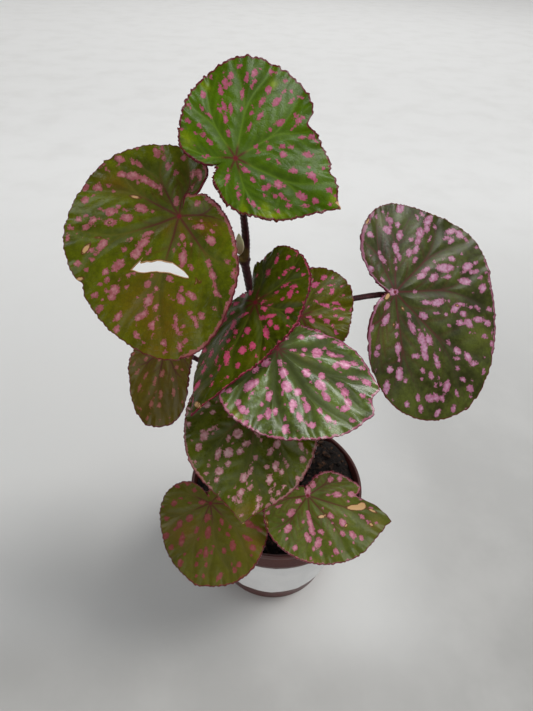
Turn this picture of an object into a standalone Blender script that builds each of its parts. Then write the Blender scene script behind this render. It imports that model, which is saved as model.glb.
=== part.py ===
"""Potted begonia: ten spotted leaves on one cane, in a plastic nursery pot with a bare paper label.

Metres, +Z up. The origin is the centre of the pot's base, and the leaves face -Y.
Run with: blender --background --python part.py
"""

import math

import bmesh
import bpy
from mathutils import Matrix, Vector, noise

# Pot: a tapered cup with a wider collar under a rolled lip
POT_HEIGHT = 0.086
BASE_RADIUS = 0.0415
SHOULDER_RADIUS = 0.056
LIP_RADIUS = 0.060
COLLAR_BOTTOM = 0.069
COLLAR_RADIUS = 0.058
COLLAR_SLOPE = 0.0012
LIP_DEPTH = 0.0030
WALL = 0.0014
FLOOR = 0.0018
POT_STEPS = 48
DRAIN_COUNT = 6
DRAIN_RADIUS = 0.004
DRAIN_RING = 0.028
CHANNEL_DEPTH = 0.0008
CHANNEL_WIDTH = 0.004

# Label: a paper band round the front of the pot
LABEL_BOTTOM = 0.016
LABEL_TOP = 0.0655
LABEL_THICKNESS = 0.0006
LABEL_SPAN = math.radians(210)
LABEL_STEPS = 28

# Soil
SOIL_LEVEL = 0.079
SOIL_ROUGHNESS = 0.0022
SOIL_HEAP = 0.009
SOIL_HEAP_AT = (0.036, 0.026)
SOIL_RINGS = 6
GAP = 0.0003

# Cane: points up its middle, with the radius there
CANE = (
    ((0.000, 0.007, 0.050), 0.0034),
    ((-0.001, 0.007, 0.085), 0.0033),
    ((-0.005, 0.008, 0.125), 0.0030),
    ((-0.010, 0.008, 0.165), 0.0028),
    ((-0.015, 0.007, 0.200), 0.0026),
    ((-0.0208, 0.006, 0.2323), 0.0024),
    ((-0.0252, 0.006, 0.2547), 0.0023),
)
CANE_SIDES = 10
CANE_HOLE_RADIUS = 0.0042
NODE_HEIGHTS = (0.100, 0.122, 0.146, 0.168, 0.190, 0.210, 0.230, 0.2547)
NODE_SWELL = 1.35
NODE_LENGTH = 0.0055

# Stalks: the points between the cane and the leaf, in order from the cane
STALK_RADIUS = 0.0016
STALK_GIRTHS = {"leaf_top": 1.22, "leaf_right": 1.1}
STALKS = {
    "leaf_top": (
        (-0.0252, 0.006, 0.2547), (-0.0245, 0.004, 0.2677), (-0.0256, 0.000, 0.2821),
        (-0.027, -0.008, 0.300)),
    "leaf_left": ((-0.0252, 0.006, 0.2547), (-0.033, -0.002, 0.262), (-0.043, -0.015, 0.276)),
    "leaf_centre": ((-0.0195, 0.006, 0.226), (-0.021, -0.004, 0.232), (-0.0195, -0.016, 0.240)),
    "leaf_small_right": ((-0.012, 0.008, 0.181), (-0.006, 0.010, 0.200), (0.002, 0.004, 0.218)),
    "leaf_front": ((-0.0105, 0.008, 0.168), (-0.0105, -0.006, 0.190), (-0.008, -0.021, 0.212)),
    "leaf_right": (
        (-0.0165, 0.007, 0.212), (0.001, 0.009, 0.2215), (0.017, 0.011, 0.2265), (0.034, 0.012, 0.231),
        (0.048, 0.012, 0.2345)),
    "leaf_lower_centre": ((-0.0075, 0.008, 0.146), (-0.012, -0.012, 0.162), (-0.0145, -0.032, 0.183)),
    "leaf_left_low": ((-0.0075, 0.008, 0.150), (-0.028, 0.010, 0.168), (-0.052, 0.006, 0.187)),
    "leaf_pot_left": ((-0.002, 0.007, 0.092), (-0.018, -0.008, 0.100), (-0.034, -0.030, 0.109)),
    "leaf_pot_right": ((-0.002, 0.007, 0.098), (0.004, -0.012, 0.110), (0.012, -0.032, 0.120)),
}
STALK_END_GAP = 0.0005

# Bud: the pale sheathed growing tip beside the top node
BUD_BASE = (-0.0274, 0.0023, 0.2602)
BUD_TIP = (-0.0276, -0.0028, 0.2745)
BUD_RADIUS = 0.0024

# Leaves. at: where the stalk meets the blade. face: the way that the blade faces, as degrees from -Y
# towards +X and degrees above level. turn: how far the leaf's axis is turned from straight down the slope.
# reach: the blade's radius every 30 degrees round from that axis. tip: bearing, length and breadth of the
# point. sinus: depth of the notch at the stalk and half its angle. veins: bearings of the main veins.
# quilt: depth and breadth of the furrow over a vein. cup: how far the margin stands up at 50 mm out.
# bend: how far the tip hangs there. fold: bearing of a crease, and the slope of the blade on each side of
# it. wave: height, count and phase of the margin's waves. lap: how far the last lobe turns over the first,
# how high, and how far the first turns under it. nicks: bearing, half angle and depth of a gap in the margin.
BLADE = 0.0009
LEAF_STEPS = 60
LEAF_RINGS = 4
SEAT_RADIUS = 0.0025
SEAT_FADE = 0.010
LEAVES = {
    "leaf_top": dict(
        at=(-0.028, -0.020, 0.316), face=(15, 42), turn=105,
        reach=(0.039, 0.0463, 0.0456, 0.0362, 0.028, 0.0224, 0.0125, 0.0144, 0.0198, 0.0264, 0.035, 0.0433),
        tip=(-43, 0.0085, 8), sinus=(0.007, 8), veins=(-136, -95, -42, 14, 57, 100, 158),
        quilt=(0.0009, 0.0024), cup=-0.002, bend=0.002, wave=(0.0012, 7, 0),
        nicks=((7, 4.5, 0.0045), (-24, 3.5, 0.002), (-172, 9, 0.003))),
    "leaf_left": dict(
        at=(-0.051, -0.030, 0.294), face=(-18, 45), turn=-12,
        reach=(0.057, 0.0605, 0.044, 0.0278, 0.0190, 0.0152, 0.0205, 0.030, 0.0396, 0.0496, 0.0545, 0.0535),
        tip=(-34, 0.0005, 7), sinus=(0.003, 12), veins=(-157, -122, -94, -50, 10, 62, 118),
        quilt=(0.0008, 0.0026), cup=-0.001, wave=(0.0010, 6, 40), lap=(3, 0.0028, 17),
        nicks=((172, 14, 0.008), (-32, 3, 0.002))),
    "leaf_centre": dict(
        at=(-0.018, -0.024, 0.249), face=(-25, 50), turn=42,
        reach=(0.026, 0.024, 0.0243, 0.0292, 0.0325, 0.0275, 0.013, 0.013, 0.022, 0.0335, 0.0455, 0.034),
        tip=(-50, 0.019, 10), sinus=(0.003, 12), veins=(-130, -90, -47, -6, 48, 104, 148),
        quilt=(0.0009, 0.0022), fold=(-47, 0, -0.8), wave=(0.0010, 6, 0),
        nicks=((168, 7, -0.007), (-166, 10, 0.004))),
    "leaf_small_right": dict(
        at=(0.006, -0.004, 0.229), face=(20, 45), turn=93,
        reach=(0.0315, 0.034, 0.028, 0.024, 0.020, 0.015, 0.013, 0.013, 0.018, 0.024, 0.027, 0.0275),
        tip=(-32, 0.001, 7), sinus=(0.004, 15), veins=(-120, -75, -32, 8, 50, 95, 140),
        quilt=(0.0010, 0.0022), wave=(0.0012, 8, 0)),
    "leaf_front": dict(
        at=(-0.006, -0.030, 0.226), face=(15, 58), turn=37,
        reach=(0.0545, 0.0495, 0.029, 0.018, 0.012, 0.009, 0.009, 0.017, 0.029, 0.040, 0.044, 0.0477),
        tip=(9, 0.0035, 7), sinus=(0.003, 15), veins=(-130, -92, -52, -14, 18, 46, 90),
        quilt=(0.0022, 0.0026), wave=(0.0010, 9, 0), nicks=((24, 5, -0.003), (16, 3, 0.002))),
    "leaf_right": dict(
        at=(0.057, 0.010, 0.238), face=(20, 42), turn=84,
        reach=(0.067, 0.0643, 0.0525, 0.050, 0.0345, 0.0105, 0.006, 0.0148, 0.0358, 0.0658, 0.079, 0.073),
        tip=(-57, 0.0015, 6), sinus=(0.003, 30), veins=(-122, -86, -46, 1, 39, 80, 108),
        quilt=(0.0009, 0.0030), cup=-0.003, wave=(0.0010, 7, 0), nicks=((1, 4, 0.001),)),
    "leaf_lower_centre": dict(
        at=(-0.015, -0.042, 0.198), face=(-8, 55), turn=-5,
        reach=(0.047, 0.047, 0.039, 0.032, 0.026, 0.021, 0.019, 0.020, 0.026, 0.034, 0.0393, 0.0453),
        tip=(7, 0.012, 11), sinus=(0.004, 15), veins=(-125, -78, -34, 7, 46, 88, 132),
        quilt=(0.0007, 0.0026), bend=0.002, wave=(0.0008, 7, 0)),
    "leaf_left_low": dict(
        at=(-0.069, -0.005, 0.204), face=(-25, 35), turn=-7,
        reach=(0.042, 0.0435, 0.0255, 0.019, 0.017, 0.016, 0.016, 0.016, 0.016, 0.018, 0.021, 0.029),
        tip=(10, 0.0018, 7), sinus=(0.004, 20), veins=(-120, -70, -28, 12, 50, 92, 135),
        quilt=(0.0007, 0.0024), wave=(0.0010, 6, 0)),
    "leaf_pot_left": dict(
        at=(-0.041, -0.045, 0.117), face=(-25, 58), turn=49,
        reach=(0.0468, 0.0414, 0.033, 0.022, 0.016, 0.009, 0.0095, 0.0238, 0.0313, 0.0345, 0.0395, 0.0453),
        tip=(-34, 0.002, 7), sinus=(0.003, 20), veins=(-138, -96, -50, -17, 21, 62, 110),
        quilt=(0.0007, 0.0028), cup=-0.002, wave=(0.0008, 5, 0)),
    "leaf_pot_right": dict(
        at=(0.017, -0.045, 0.129), face=(15, 62), turn=8,
        reach=(0.040, 0.0446, 0.0435, 0.0297, 0.020, 0.008, 0.007, 0.008, 0.015, 0.0275, 0.0325, 0.0358),
        tip=(56, 0.008, 9), sinus=(0.003, 24), veins=(-100, -56, -14, 25, 56, 104, 145),
        quilt=(0.0007, 0.0026), wave=(0.0008, 6, 0), nicks=((71, 7, 0.010),)),
}
FORK_SPREAD = 11
FOLD_SOFTNESS = 0.003
RELIEF_RADIUS = 0.050
LAP_FROM = 0.006
LAP_FULL = 0.014
LIFT_FROM = 0.002
LIFT_FULL = 0.009

# Torn hole in the leaf at the upper left: distances from the stalk along the leaf's axis and across it
TEAR = (
    (0.029, -0.009), (0.025, -0.007), (0.023, -0.007), (0.024, -0.005), (0.022, -0.002), (0.020, 0.003),
    (0.019, 0.007), (0.020, 0.012), (0.021, 0.015), (0.022, 0.017), (0.023, 0.014), (0.023, 0.010),
    (0.0235, 0.006), (0.024, 0.003), (0.026, 0.000), (0.028, -0.005),
)


def clear_scene():
    for obj in list(bpy.data.objects):
        bpy.data.objects.remove(obj, do_unlink=True)


def new_collection(name, hidden=False):
    collection = bpy.data.collections.new(name)
    bpy.context.scene.collection.children.link(collection)
    collection.hide_render = hidden
    return collection


def material(name, colour, roughness):
    made = bpy.data.materials.new(name)
    made.use_nodes = True
    shader = made.node_tree.nodes["Principled BSDF"]
    shader.inputs["Base Color"].default_value = (*colour, 1)
    shader.inputs["Roughness"].default_value = roughness
    shader.inputs["Metallic"].default_value = 0
    return made


def new_object(name, mesh, collection, finish=None):
    obj = bpy.data.objects.new(name, mesh)
    collection.objects.link(obj)
    if finish:
        mesh.materials.append(finish)
    return obj


def mesh_from(bm, name):
    mesh = bpy.data.meshes.new(name)
    bm.to_mesh(mesh)
    bm.free()
    mesh.shade_smooth()
    return mesh


def as_cutter(obj):
    obj.hide_render = True
    obj.display_type = "WIRE"


def add_boolean(obj, operation, other=None, collection=None):
    modifier = obj.modifiers.new(operation.title(), "BOOLEAN")
    modifier.operation = operation
    modifier.solver = "EXACT"
    if collection:
        modifier.operand_type = "COLLECTION"
        modifier.collection = collection
    else:
        modifier.object = other
    return modifier


def apply_modifiers(obj):
    graph = bpy.context.evaluated_depsgraph_get()
    mesh = bpy.data.meshes.new_from_object(obj.evaluated_get(graph))
    obj.modifiers.clear()
    obj.data = mesh


def add_screw(obj, angle, steps):
    screw = obj.modifiers.new("Turn", "SCREW")
    screw.angle = angle
    screw.steps = steps
    screw.render_steps = steps
    screw.use_merge_vertices = True
    screw.merge_threshold = 0.00001
    return screw


def profile_mesh(name, points):
    """A line of points in the XZ plane, to be turned."""
    bm = bmesh.new()
    verts = [bm.verts.new((radius, 0, height)) for radius, height in points]
    for first, second in zip(verts, verts[1:]):
        bm.edges.new((first, second))
    return mesh_from(bm, name)


def body_radius(height):
    """The pot's outer radius below the collar."""
    return BASE_RADIUS + (SHOULDER_RADIUS - BASE_RADIUS) * height / COLLAR_BOTTOM


def build_pot(parts, cutters, finish):
    inner_collar = COLLAR_RADIUS - WALL
    outline = (
        (0, FLOOR),
        (body_radius(FLOOR) - WALL, FLOOR),
        (SHOULDER_RADIUS - WALL, COLLAR_BOTTOM),
        (inner_collar, COLLAR_BOTTOM + COLLAR_SLOPE),
        (LIP_RADIUS - 0.0024, POT_HEIGHT - 0.0006),
        (LIP_RADIUS - 0.0019, POT_HEIGHT),
        (LIP_RADIUS - 0.0005, POT_HEIGHT),
        (LIP_RADIUS, POT_HEIGHT - 0.0006),
        (LIP_RADIUS, POT_HEIGHT - LIP_DEPTH),
        (LIP_RADIUS - 0.0006, POT_HEIGHT - LIP_DEPTH - 0.0005),
        (COLLAR_RADIUS, COLLAR_BOTTOM + 0.0006),
        (COLLAR_RADIUS - 0.0005, COLLAR_BOTTOM),
        (body_radius(COLLAR_BOTTOM - 0.0008), COLLAR_BOTTOM - 0.0008),
        (body_radius(0.0015), 0.0015),
        (BASE_RADIUS - 0.0008, 0),
        (0, 0),
    )
    pot = new_object("pot", profile_mesh("pot", outline), parts, finish)
    add_screw(pot, math.tau, POT_STEPS)
    drains = new_collection("drains", hidden=True)
    for number in range(DRAIN_COUNT):
        turn = Matrix.Rotation(math.tau * (number + 0.5) / DRAIN_COUNT, 4, "Z")
        hole = bmesh.new()
        bmesh.ops.create_cone(
            hole, cap_ends=True, segments=16, radius1=DRAIN_RADIUS, radius2=DRAIN_RADIUS, depth=4 * FLOOR,
            matrix=turn @ Matrix.Translation((DRAIN_RING, 0, 0)))
        as_cutter(new_object(f"drain_{number}", mesh_from(hole, "drain"), drains))
        channel = bmesh.new()
        length = 1.2 * (BASE_RADIUS - DRAIN_RING)
        middle = Matrix.Translation((DRAIN_RING + length / 2, 0, 0))
        size = Matrix.Diagonal((length, CHANNEL_WIDTH, 2 * CHANNEL_DEPTH, 1))
        bmesh.ops.create_cube(channel, size=1, matrix=turn @ middle @ size)
        as_cutter(new_object(f"channel_{number}", mesh_from(channel, "channel"), cutters))
    add_boolean(pot, "DIFFERENCE", collection=drains)
    add_boolean(pot, "DIFFERENCE", collection=cutters)
    return pot


def build_label(parts, finish):
    outline = [
        (body_radius(height) + GAP, height)
        for height in (LABEL_TOP, (LABEL_TOP + LABEL_BOTTOM) / 2, LABEL_BOTTOM)
    ]
    label = new_object("label", profile_mesh("label", outline), parts, finish)
    label.rotation_euler.z = -math.pi / 2 - LABEL_SPAN / 2
    add_screw(label, LABEL_SPAN, LABEL_STEPS)
    shell = label.modifiers.new("Paper", "SOLIDIFY")
    shell.thickness = LABEL_THICKNESS
    shell.offset = 1
    return label


def soil_height(x, y):
    """Crumbly soil, level at the front and heaped at the back right."""
    rough = noise.noise(Vector((x, y, 0)) * 160) + 0.6 * noise.noise(Vector((x, y, 0.02)) * 380)
    heap = SOIL_HEAP * math.exp(-((x - SOIL_HEAP_AT[0]) ** 2 + (y - SOIL_HEAP_AT[1]) ** 2) / 0.018**2)
    return SOIL_LEVEL + SOIL_ROUGHNESS * rough + heap


def build_soil(parts, cutters, finish):
    top_radius = COLLAR_RADIUS - WALL - GAP
    low_radius = body_radius(FLOOR) - WALL - GAP
    mid_radius = SHOULDER_RADIUS - WALL - GAP
    bm = bmesh.new()
    outline = [(top_radius * ring / SOIL_RINGS, 1) for ring in range(SOIL_RINGS + 1)]
    outline += [(top_radius, COLLAR_BOTTOM + COLLAR_SLOPE + GAP), (mid_radius, COLLAR_BOTTOM + GAP)]
    outline += [(low_radius, FLOOR + GAP), (0, FLOOR + GAP)]
    verts = [bm.verts.new((radius, 0, height)) for radius, height in outline]
    edges = [bm.edges.new(pair) for pair in zip(verts, verts[1:])]
    bmesh.ops.spin(bm, geom=verts + edges, axis=(0, 0, 1), cent=(0, 0, 0), steps=POT_STEPS, angle=math.tau)
    bmesh.ops.remove_doubles(bm, verts=bm.verts, dist=0.00001)
    for vert in bm.verts:
        if vert.co.z == 1:
            vert.co.z = soil_height(vert.co.x, vert.co.y)
    bmesh.ops.recalc_face_normals(bm, faces=bm.faces)
    bmesh.ops.triangulate(bm, faces=bm.faces)
    soil = new_object("soil", mesh_from(bm, "soil"), parts, finish)
    hole = bmesh.new()
    bottom = CANE[0][0]
    depth = 0.060
    middle = Matrix.Translation((bottom[0], bottom[1], bottom[2] - GAP + depth / 2))
    bmesh.ops.create_cone(
        hole, cap_ends=True, segments=16, radius1=CANE_HOLE_RADIUS, radius2=CANE_HOLE_RADIUS * 1.3,
        depth=depth, matrix=middle)
    cutter = new_object("cane_hole", mesh_from(hole, "cane_hole"), cutters)
    as_cutter(cutter)
    add_boolean(soil, "DIFFERENCE", cutter)
    return soil


def tube(name, points, radii, resolution, collection):
    """A closed tube through the points, as a mesh."""
    curve = bpy.data.curves.new(name, "CURVE")
    curve.dimensions = "3D"
    curve.bevel_depth = 1
    curve.bevel_resolution = resolution
    curve.use_fill_caps = True
    spline = curve.splines.new("POLY")
    spline.points.add(len(points) - 1)
    for point, place, radius in zip(spline.points, points, radii):
        point.co = (*place, 1)
        point.radius = radius
    guide = bpy.data.objects.new(name, curve)
    collection.objects.link(guide)
    graph = bpy.context.evaluated_depsgraph_get()
    mesh = bpy.data.meshes.new_from_object(guide.evaluated_get(graph))
    bpy.data.objects.remove(guide)
    bm = bmesh.new()
    bm.from_mesh(mesh)
    bmesh.ops.remove_doubles(bm, verts=bm.verts, dist=0.00001)
    bmesh.ops.recalc_face_normals(bm, faces=bm.faces)
    bpy.data.meshes.remove(mesh)
    return new_object(name, mesh_from(bm, name), collection)


def smooth_route(points, per_span=2):
    """Points on a smooth curve through the given ones."""
    places = [Vector(point) for point in points]
    places = [2 * places[0] - places[1]] + places + [2 * places[-1] - places[-2]]
    route = []
    for first, second, third, fourth in zip(places, places[1:], places[2:], places[3:]):
        for step in range(per_span):
            f = step / per_span
            route.append(0.5 * (
                2 * second + (third - first) * f + (2 * first - 5 * second + 4 * third - fourth) * f**2
                + (3 * second - first - 3 * third + fourth) * f**3))
    return route + [places[-2]]


def cane_at(height):
    """The cane's middle and radius at a height."""
    for (low, low_radius), (high, high_radius) in zip(CANE, CANE[1:]):
        if height <= high[2]:
            part = (height - low[2]) / (high[2] - low[2])
            return Vector(low).lerp(Vector(high), part), low_radius + (high_radius - low_radius) * part
    return Vector(CANE[-1][0]), CANE[-1][1]


def build_cane(parts, finish):
    """The cane with its nodes and all the leaf stalks, grown as one."""
    pieces = new_collection("cane_pieces", hidden=True)
    places, radii = zip(*CANE)
    cane = tube("cane", places, radii, 3, parts)
    cane.data.materials.append(finish)
    for number, height in enumerate(NODE_HEIGHTS):
        place, radius = cane_at(height)
        bm = bmesh.new()
        size = Matrix.Diagonal((NODE_SWELL * radius, NODE_SWELL * radius, NODE_LENGTH / 2, 1))
        bmesh.ops.create_uvsphere(
            bm, u_segments=CANE_SIDES, v_segments=6, radius=1, matrix=Matrix.Translation(place) @ size)
        new_object(f"node_{number}", mesh_from(bm, "node"), pieces)
    for name, points in STALKS.items():
        leaf = LEAVES[name]
        _, _, normal = leaf_axes(leaf)
        end = Vector(leaf["at"]) - normal * (BLADE + STALK_END_GAP)
        route = smooth_route([*points, end - normal * 0.004]) + [end]
        last = len(route) - 1
        girth = STALK_RADIUS * STALK_GIRTHS.get(name, 1)
        radii = [girth * (1.2 - 0.25 * min(1, step / (0.7 * last))) for step in range(last + 1)]
        tube("stalk_" + name, route, radii, 1, pieces)
    add_boolean(cane, "UNION", collection=pieces)
    apply_modifiers(cane)
    for piece in list(pieces.objects):
        bpy.data.objects.remove(piece)
    bpy.data.collections.remove(pieces)
    return cane


def build_bud(parts, finish):
    base, tip = Vector(BUD_BASE), Vector(BUD_TIP)
    along = tip - base
    bm = bmesh.new()
    bmesh.ops.create_uvsphere(bm, u_segments=10, v_segments=8, radius=1)
    for vert in bm.verts:
        height = (vert.co.z + 1) / 2
        girth = math.sin(math.pi * min(1, height) ** 0.8) ** 0.8 if 0 < height < 1 else 0
        spread = math.hypot(vert.co.x, vert.co.y) or 1
        x = vert.co.x / spread * girth * BUD_RADIUS
        y = vert.co.y / spread * girth * BUD_RADIUS * 0.7
        vert.co = (x, y, height * along.length)
    turn = along.to_track_quat("Z", "Y").to_matrix().to_4x4()
    bmesh.ops.transform(bm, matrix=Matrix.Translation(base) @ turn, verts=bm.verts)
    bmesh.ops.recalc_face_normals(bm, faces=bm.faces)
    return new_object("bud", mesh_from(bm, "bud"), parts, finish)


def leaf_axes(leaf):
    """The leaf's axis, the way across it and its upper side."""
    azimuth, elevation = (math.radians(angle) for angle in leaf["face"])
    level = math.cos(elevation)
    normal = Vector((math.sin(azimuth) * level, -math.cos(azimuth) * level, math.sin(elevation)))
    down = (Vector((0, 0, -1)) + normal * normal.z).normalized()
    axis = Matrix.Rotation(math.radians(leaf["turn"]), 3, normal) @ down
    return axis, normal.cross(axis), normal


def angle_between(bearing, other):
    return (bearing - other + 180) % 360 - 180


def ease(value, start, end):
    part = min(1, max(0, (value - start) / (end - start)))
    return part * part * (3 - 2 * part)


def margin_radius(leaf, bearing):
    """Distance from the stalk to the margin, by a smooth curve through the leaf's radii."""
    reach = leaf["reach"]
    place = bearing % 360 / (360 / len(reach))
    index = int(place)
    f = place - index
    first, second, third, fourth = (reach[(index + shift) % len(reach)] for shift in (-1, 0, 1, 2))
    radius = 0.5 * (
        2 * second + (third - first) * f + (2 * first - 5 * second + 4 * third - fourth) * f**2
        + (3 * second - first - 3 * third + fourth) * f**3)
    tip_at, length, breadth = leaf["tip"]
    radius += length * math.exp(-abs(angle_between(bearing, tip_at)) / breadth)
    for nick_at, half, depth in leaf.get("nicks", ()):
        radius -= depth * math.exp(-((angle_between(bearing, nick_at) / half) ** 2))
    depth, half = leaf["sinus"]
    off = min(1, abs(angle_between(bearing, 180)) / half)
    return depth + (radius - depth) * math.sqrt(off * (2 - off))


def vein_distance(leaf, bearing, part, radius):
    """Distance to the nearest main vein. Each vein forks half way to the margin."""
    spread = FORK_SPREAD * ease(part, 0.38, 1)
    turn = min(abs(abs(angle_between(bearing, vein)) - spread) for vein in leaf["veins"])
    return radius * math.radians(turn)


def relief(leaf, bearing, part, radius):
    """Height of the blade over its own plane."""
    far = radius / RELIEF_RADIUS
    height = leaf.get("cup", 0) * far**2
    tip_at = math.radians(angle_between(bearing, leaf["tip"][0]))
    height -= leaf.get("bend", 0) * max(0, far * math.cos(tip_at)) ** 2
    fold_at, left_slope, right_slope = leaf.get("fold", (0, 0, 0))
    across = radius * math.sin(math.radians(bearing - fold_at))
    slope = left_slope if across > 0 else right_slope
    height += slope * (math.hypot(across, FOLD_SOFTNESS) - FOLD_SOFTNESS)
    wave, count, phase = leaf["wave"]
    height += wave * part**3 * math.sin(math.radians(count * bearing + phase))
    depth, breadth = leaf["quilt"]
    furrow = math.exp(-((vein_distance(leaf, bearing, part, radius) / breadth) ** 2))
    height -= depth * furrow * (1 - part**6)
    return height * ease(radius, SEAT_RADIUS, SEAT_FADE)


def leaf_point(leaf, bearing, part):
    """A point of the blade's upper side, part of the way from the stalk to the margin."""
    radius = part * margin_radius(leaf, bearing)
    lap, lift, under = leaf.get("lap", (0, 0, 0))
    last_lobe = ease(bearing, 110, 178)
    first_lobe = ease(-bearing, 110, 178)
    height = relief(leaf, bearing, part, radius) + lift * last_lobe * ease(radius, LIFT_FROM, LIFT_FULL)
    turn = (lap * last_lobe - under * first_lobe) * ease(radius, LAP_FROM, LAP_FULL)
    turned = math.radians(bearing + turn)
    axis, across, normal = leaf_axes(leaf)
    flat = radius * (math.cos(turned) * axis + math.sin(turned) * across)
    return Vector(leaf["at"]) + flat + height * normal


def build_leaf(name, leaf, parts, finish):
    """A disc of rings, spun from a line, bent to the blade's form and given its thickness."""
    bm = bmesh.new()
    line = [bm.verts.new((-ring / LEAF_RINGS, 0, 0)) for ring in range(LEAF_RINGS + 1)]
    edges = [bm.edges.new(pair) for pair in zip(line, line[1:])]
    bmesh.ops.spin(bm, geom=line + edges, axis=(0, 0, 1), cent=(0, 0, 0), steps=LEAF_STEPS, angle=math.tau)
    bmesh.ops.remove_doubles(bm, verts=bm.verts, dist=0.00001)
    bmesh.ops.triangulate(bm, faces=bm.faces, quad_method="FIXED")
    step = 360 / LEAF_STEPS
    tip_at = leaf["tip"][0]
    tip_line = round(tip_at / step) * step
    for vert in bm.verts:
        bearing = math.degrees(math.atan2(vert.co.y, vert.co.x))
        bearing += (tip_at - tip_line) * math.exp(-((angle_between(bearing, tip_line) / 15) ** 2))
        radius = margin_radius(leaf, bearing)
        ring = round(vert.co.length * LEAF_RINGS)
        reached = SEAT_RADIUS + (radius - SEAT_RADIUS) * (ring - 1) / (LEAF_RINGS - 1)
        vert.co = leaf_point(leaf, bearing, reached / radius if ring else 0)
    bmesh.ops.recalc_face_normals(bm, faces=bm.faces)
    _, _, normal = leaf_axes(leaf)
    if sum((face.normal for face in bm.faces), Vector()).dot(normal) < 0:
        bmesh.ops.reverse_faces(bm, faces=bm.faces)
    blade = new_object(name, mesh_from(bm, name), parts, finish)
    thickness = blade.modifiers.new("Blade", "SOLIDIFY")
    thickness.thickness = BLADE
    thickness.offset = -1
    return blade


def tear_leaf(blade, leaf, cutters):
    """Cuts the torn hole with a flat outline pushed through the blade."""
    curve = bpy.data.curves.new("tear", "CURVE")
    curve.dimensions = "2D"
    curve.fill_mode = "BOTH"
    curve.extrude = 0.008
    spline = curve.splines.new("POLY")
    spline.points.add(len(TEAR) - 1)
    spline.use_cyclic_u = True
    for point, (along, across) in zip(spline.points, TEAR):
        point.co = (along, across, 0, 1)
    guide = bpy.data.objects.new("tear", curve)
    cutters.objects.link(guide)
    graph = bpy.context.evaluated_depsgraph_get()
    mesh = bpy.data.meshes.new_from_object(guide.evaluated_get(graph))
    bpy.data.objects.remove(guide)
    bm = bmesh.new()
    bm.from_mesh(mesh)
    bmesh.ops.remove_doubles(bm, verts=bm.verts, dist=0.00001)
    axis, across, normal = leaf_axes(leaf)
    place = Matrix((axis, across, normal)).transposed().to_4x4()
    place.translation = Vector(leaf["at"])
    bmesh.ops.transform(bm, matrix=place, verts=bm.verts)
    bmesh.ops.recalc_face_normals(bm, faces=bm.faces)
    bpy.data.meshes.remove(mesh)
    cutter = new_object("tear", mesh_from(bm, "tear"), cutters)
    as_cutter(cutter)
    add_boolean(blade, "DIFFERENCE", cutter)


def main():
    clear_scene()
    parts = new_collection("potted_begonia")
    channels = new_collection("channels", hidden=True)
    cutters = new_collection("cutters", hidden=True)
    brown = material("pot_plastic", (0.11, 0.035, 0.028), 0.45)
    paper = material("label_paper", (0.80, 0.80, 0.80), 0.70)
    earth = material("soil", (0.016, 0.012, 0.009), 0.95)
    stem = material("stem", (0.075, 0.010, 0.012), 0.40)
    pale = material("bud_green", (0.45, 0.52, 0.25), 0.50)
    blade_finish = material("leaf", (0.10, 0.17, 0.02), 0.35)
    build_pot(parts, channels, brown)
    build_label(parts, paper)
    build_soil(parts, cutters, earth)
    build_cane(parts, stem)
    build_bud(parts, pale)
    for name, leaf in LEAVES.items():
        blade = build_leaf(name, leaf, parts, blade_finish)
        if name == "leaf_left":
            tear_leaf(blade, leaf, cutters)


main()
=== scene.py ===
"""Looks of the potted begonia: spotted leaves on a maroon cane, soil, a thin plastic pot, a bare label."""

import math
import random
from functools import partial

import bpy
import numpy as np
from mathutils import Matrix, Vector, noise


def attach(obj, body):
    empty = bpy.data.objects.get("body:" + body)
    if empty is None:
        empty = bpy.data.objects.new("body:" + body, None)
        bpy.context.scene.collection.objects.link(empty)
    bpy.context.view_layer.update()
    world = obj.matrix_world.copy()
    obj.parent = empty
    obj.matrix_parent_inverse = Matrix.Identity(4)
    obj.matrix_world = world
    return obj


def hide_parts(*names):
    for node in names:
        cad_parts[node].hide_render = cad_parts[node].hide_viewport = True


MM = 0.001

# Camera, as fitted to the pot's lip, collar and base in the photo
PICTURE = (533, 711)
FOCAL_PIXELS = 534
CAMERA_AT = (-0.0114, -0.2415, 0.3896)
CAMERA_PITCH = math.radians(38.5)
CAMERA_ROLL = math.radians(2.76)
SENSOR = 36
FLOOR_SIZE = 24

# Pot, as in the part: a tapered cup with a wider collar under a rolled lip
POT_HEIGHT = 0.086
BASE_RADIUS = 0.0415
SHOULDER_RADIUS = 0.056
LIP_RADIUS = 0.060
COLLAR_BOTTOM = 0.069
COLLAR_RADIUS = 0.058
LIP_DEPTH = 0.0030
WALL = 0.0014
FLOOR = 0.0018
POT_STEPS = 144
DRAIN_COUNT = 6
DRAIN_RADIUS = 0.004
DRAIN_RING = 0.028
CHANNEL_DEPTH = 0.0008
CHANNEL_WIDTH = 0.004
COLLAR_RIBS = 10
COLLAR_RIB = 0.00016
COLLAR_RIB_PITCH = 0.0010

# Label
LABEL_BOTTOM = 0.016
LABEL_TOP = 0.0655
LABEL_SPAN = math.radians(210)
LABEL_STANDOFF = 0.0009
LABEL_THICKNESS = 0.0003

# Soil, with a pit round the cane, and the crumbs on it
GAP = 0.0003
SOIL_LEVEL = 0.079
SOIL_RINGS = 48
SOIL_HEAP = 0.009
SOIL_HEAP_AT = (0.036, 0.026)
SOIL_HEAP_BREADTH = 0.018
SOIL_PIT = 0.024
SOIL_PIT_EDGE = (0.0040, 0.0056)
CRUMB_COUNT = 1100
CRUMB_SIZES = (0.0007, 0.0010, 0.0015, 0.0022)
CRUMB_CLEARANCE = 0.0075

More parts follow.
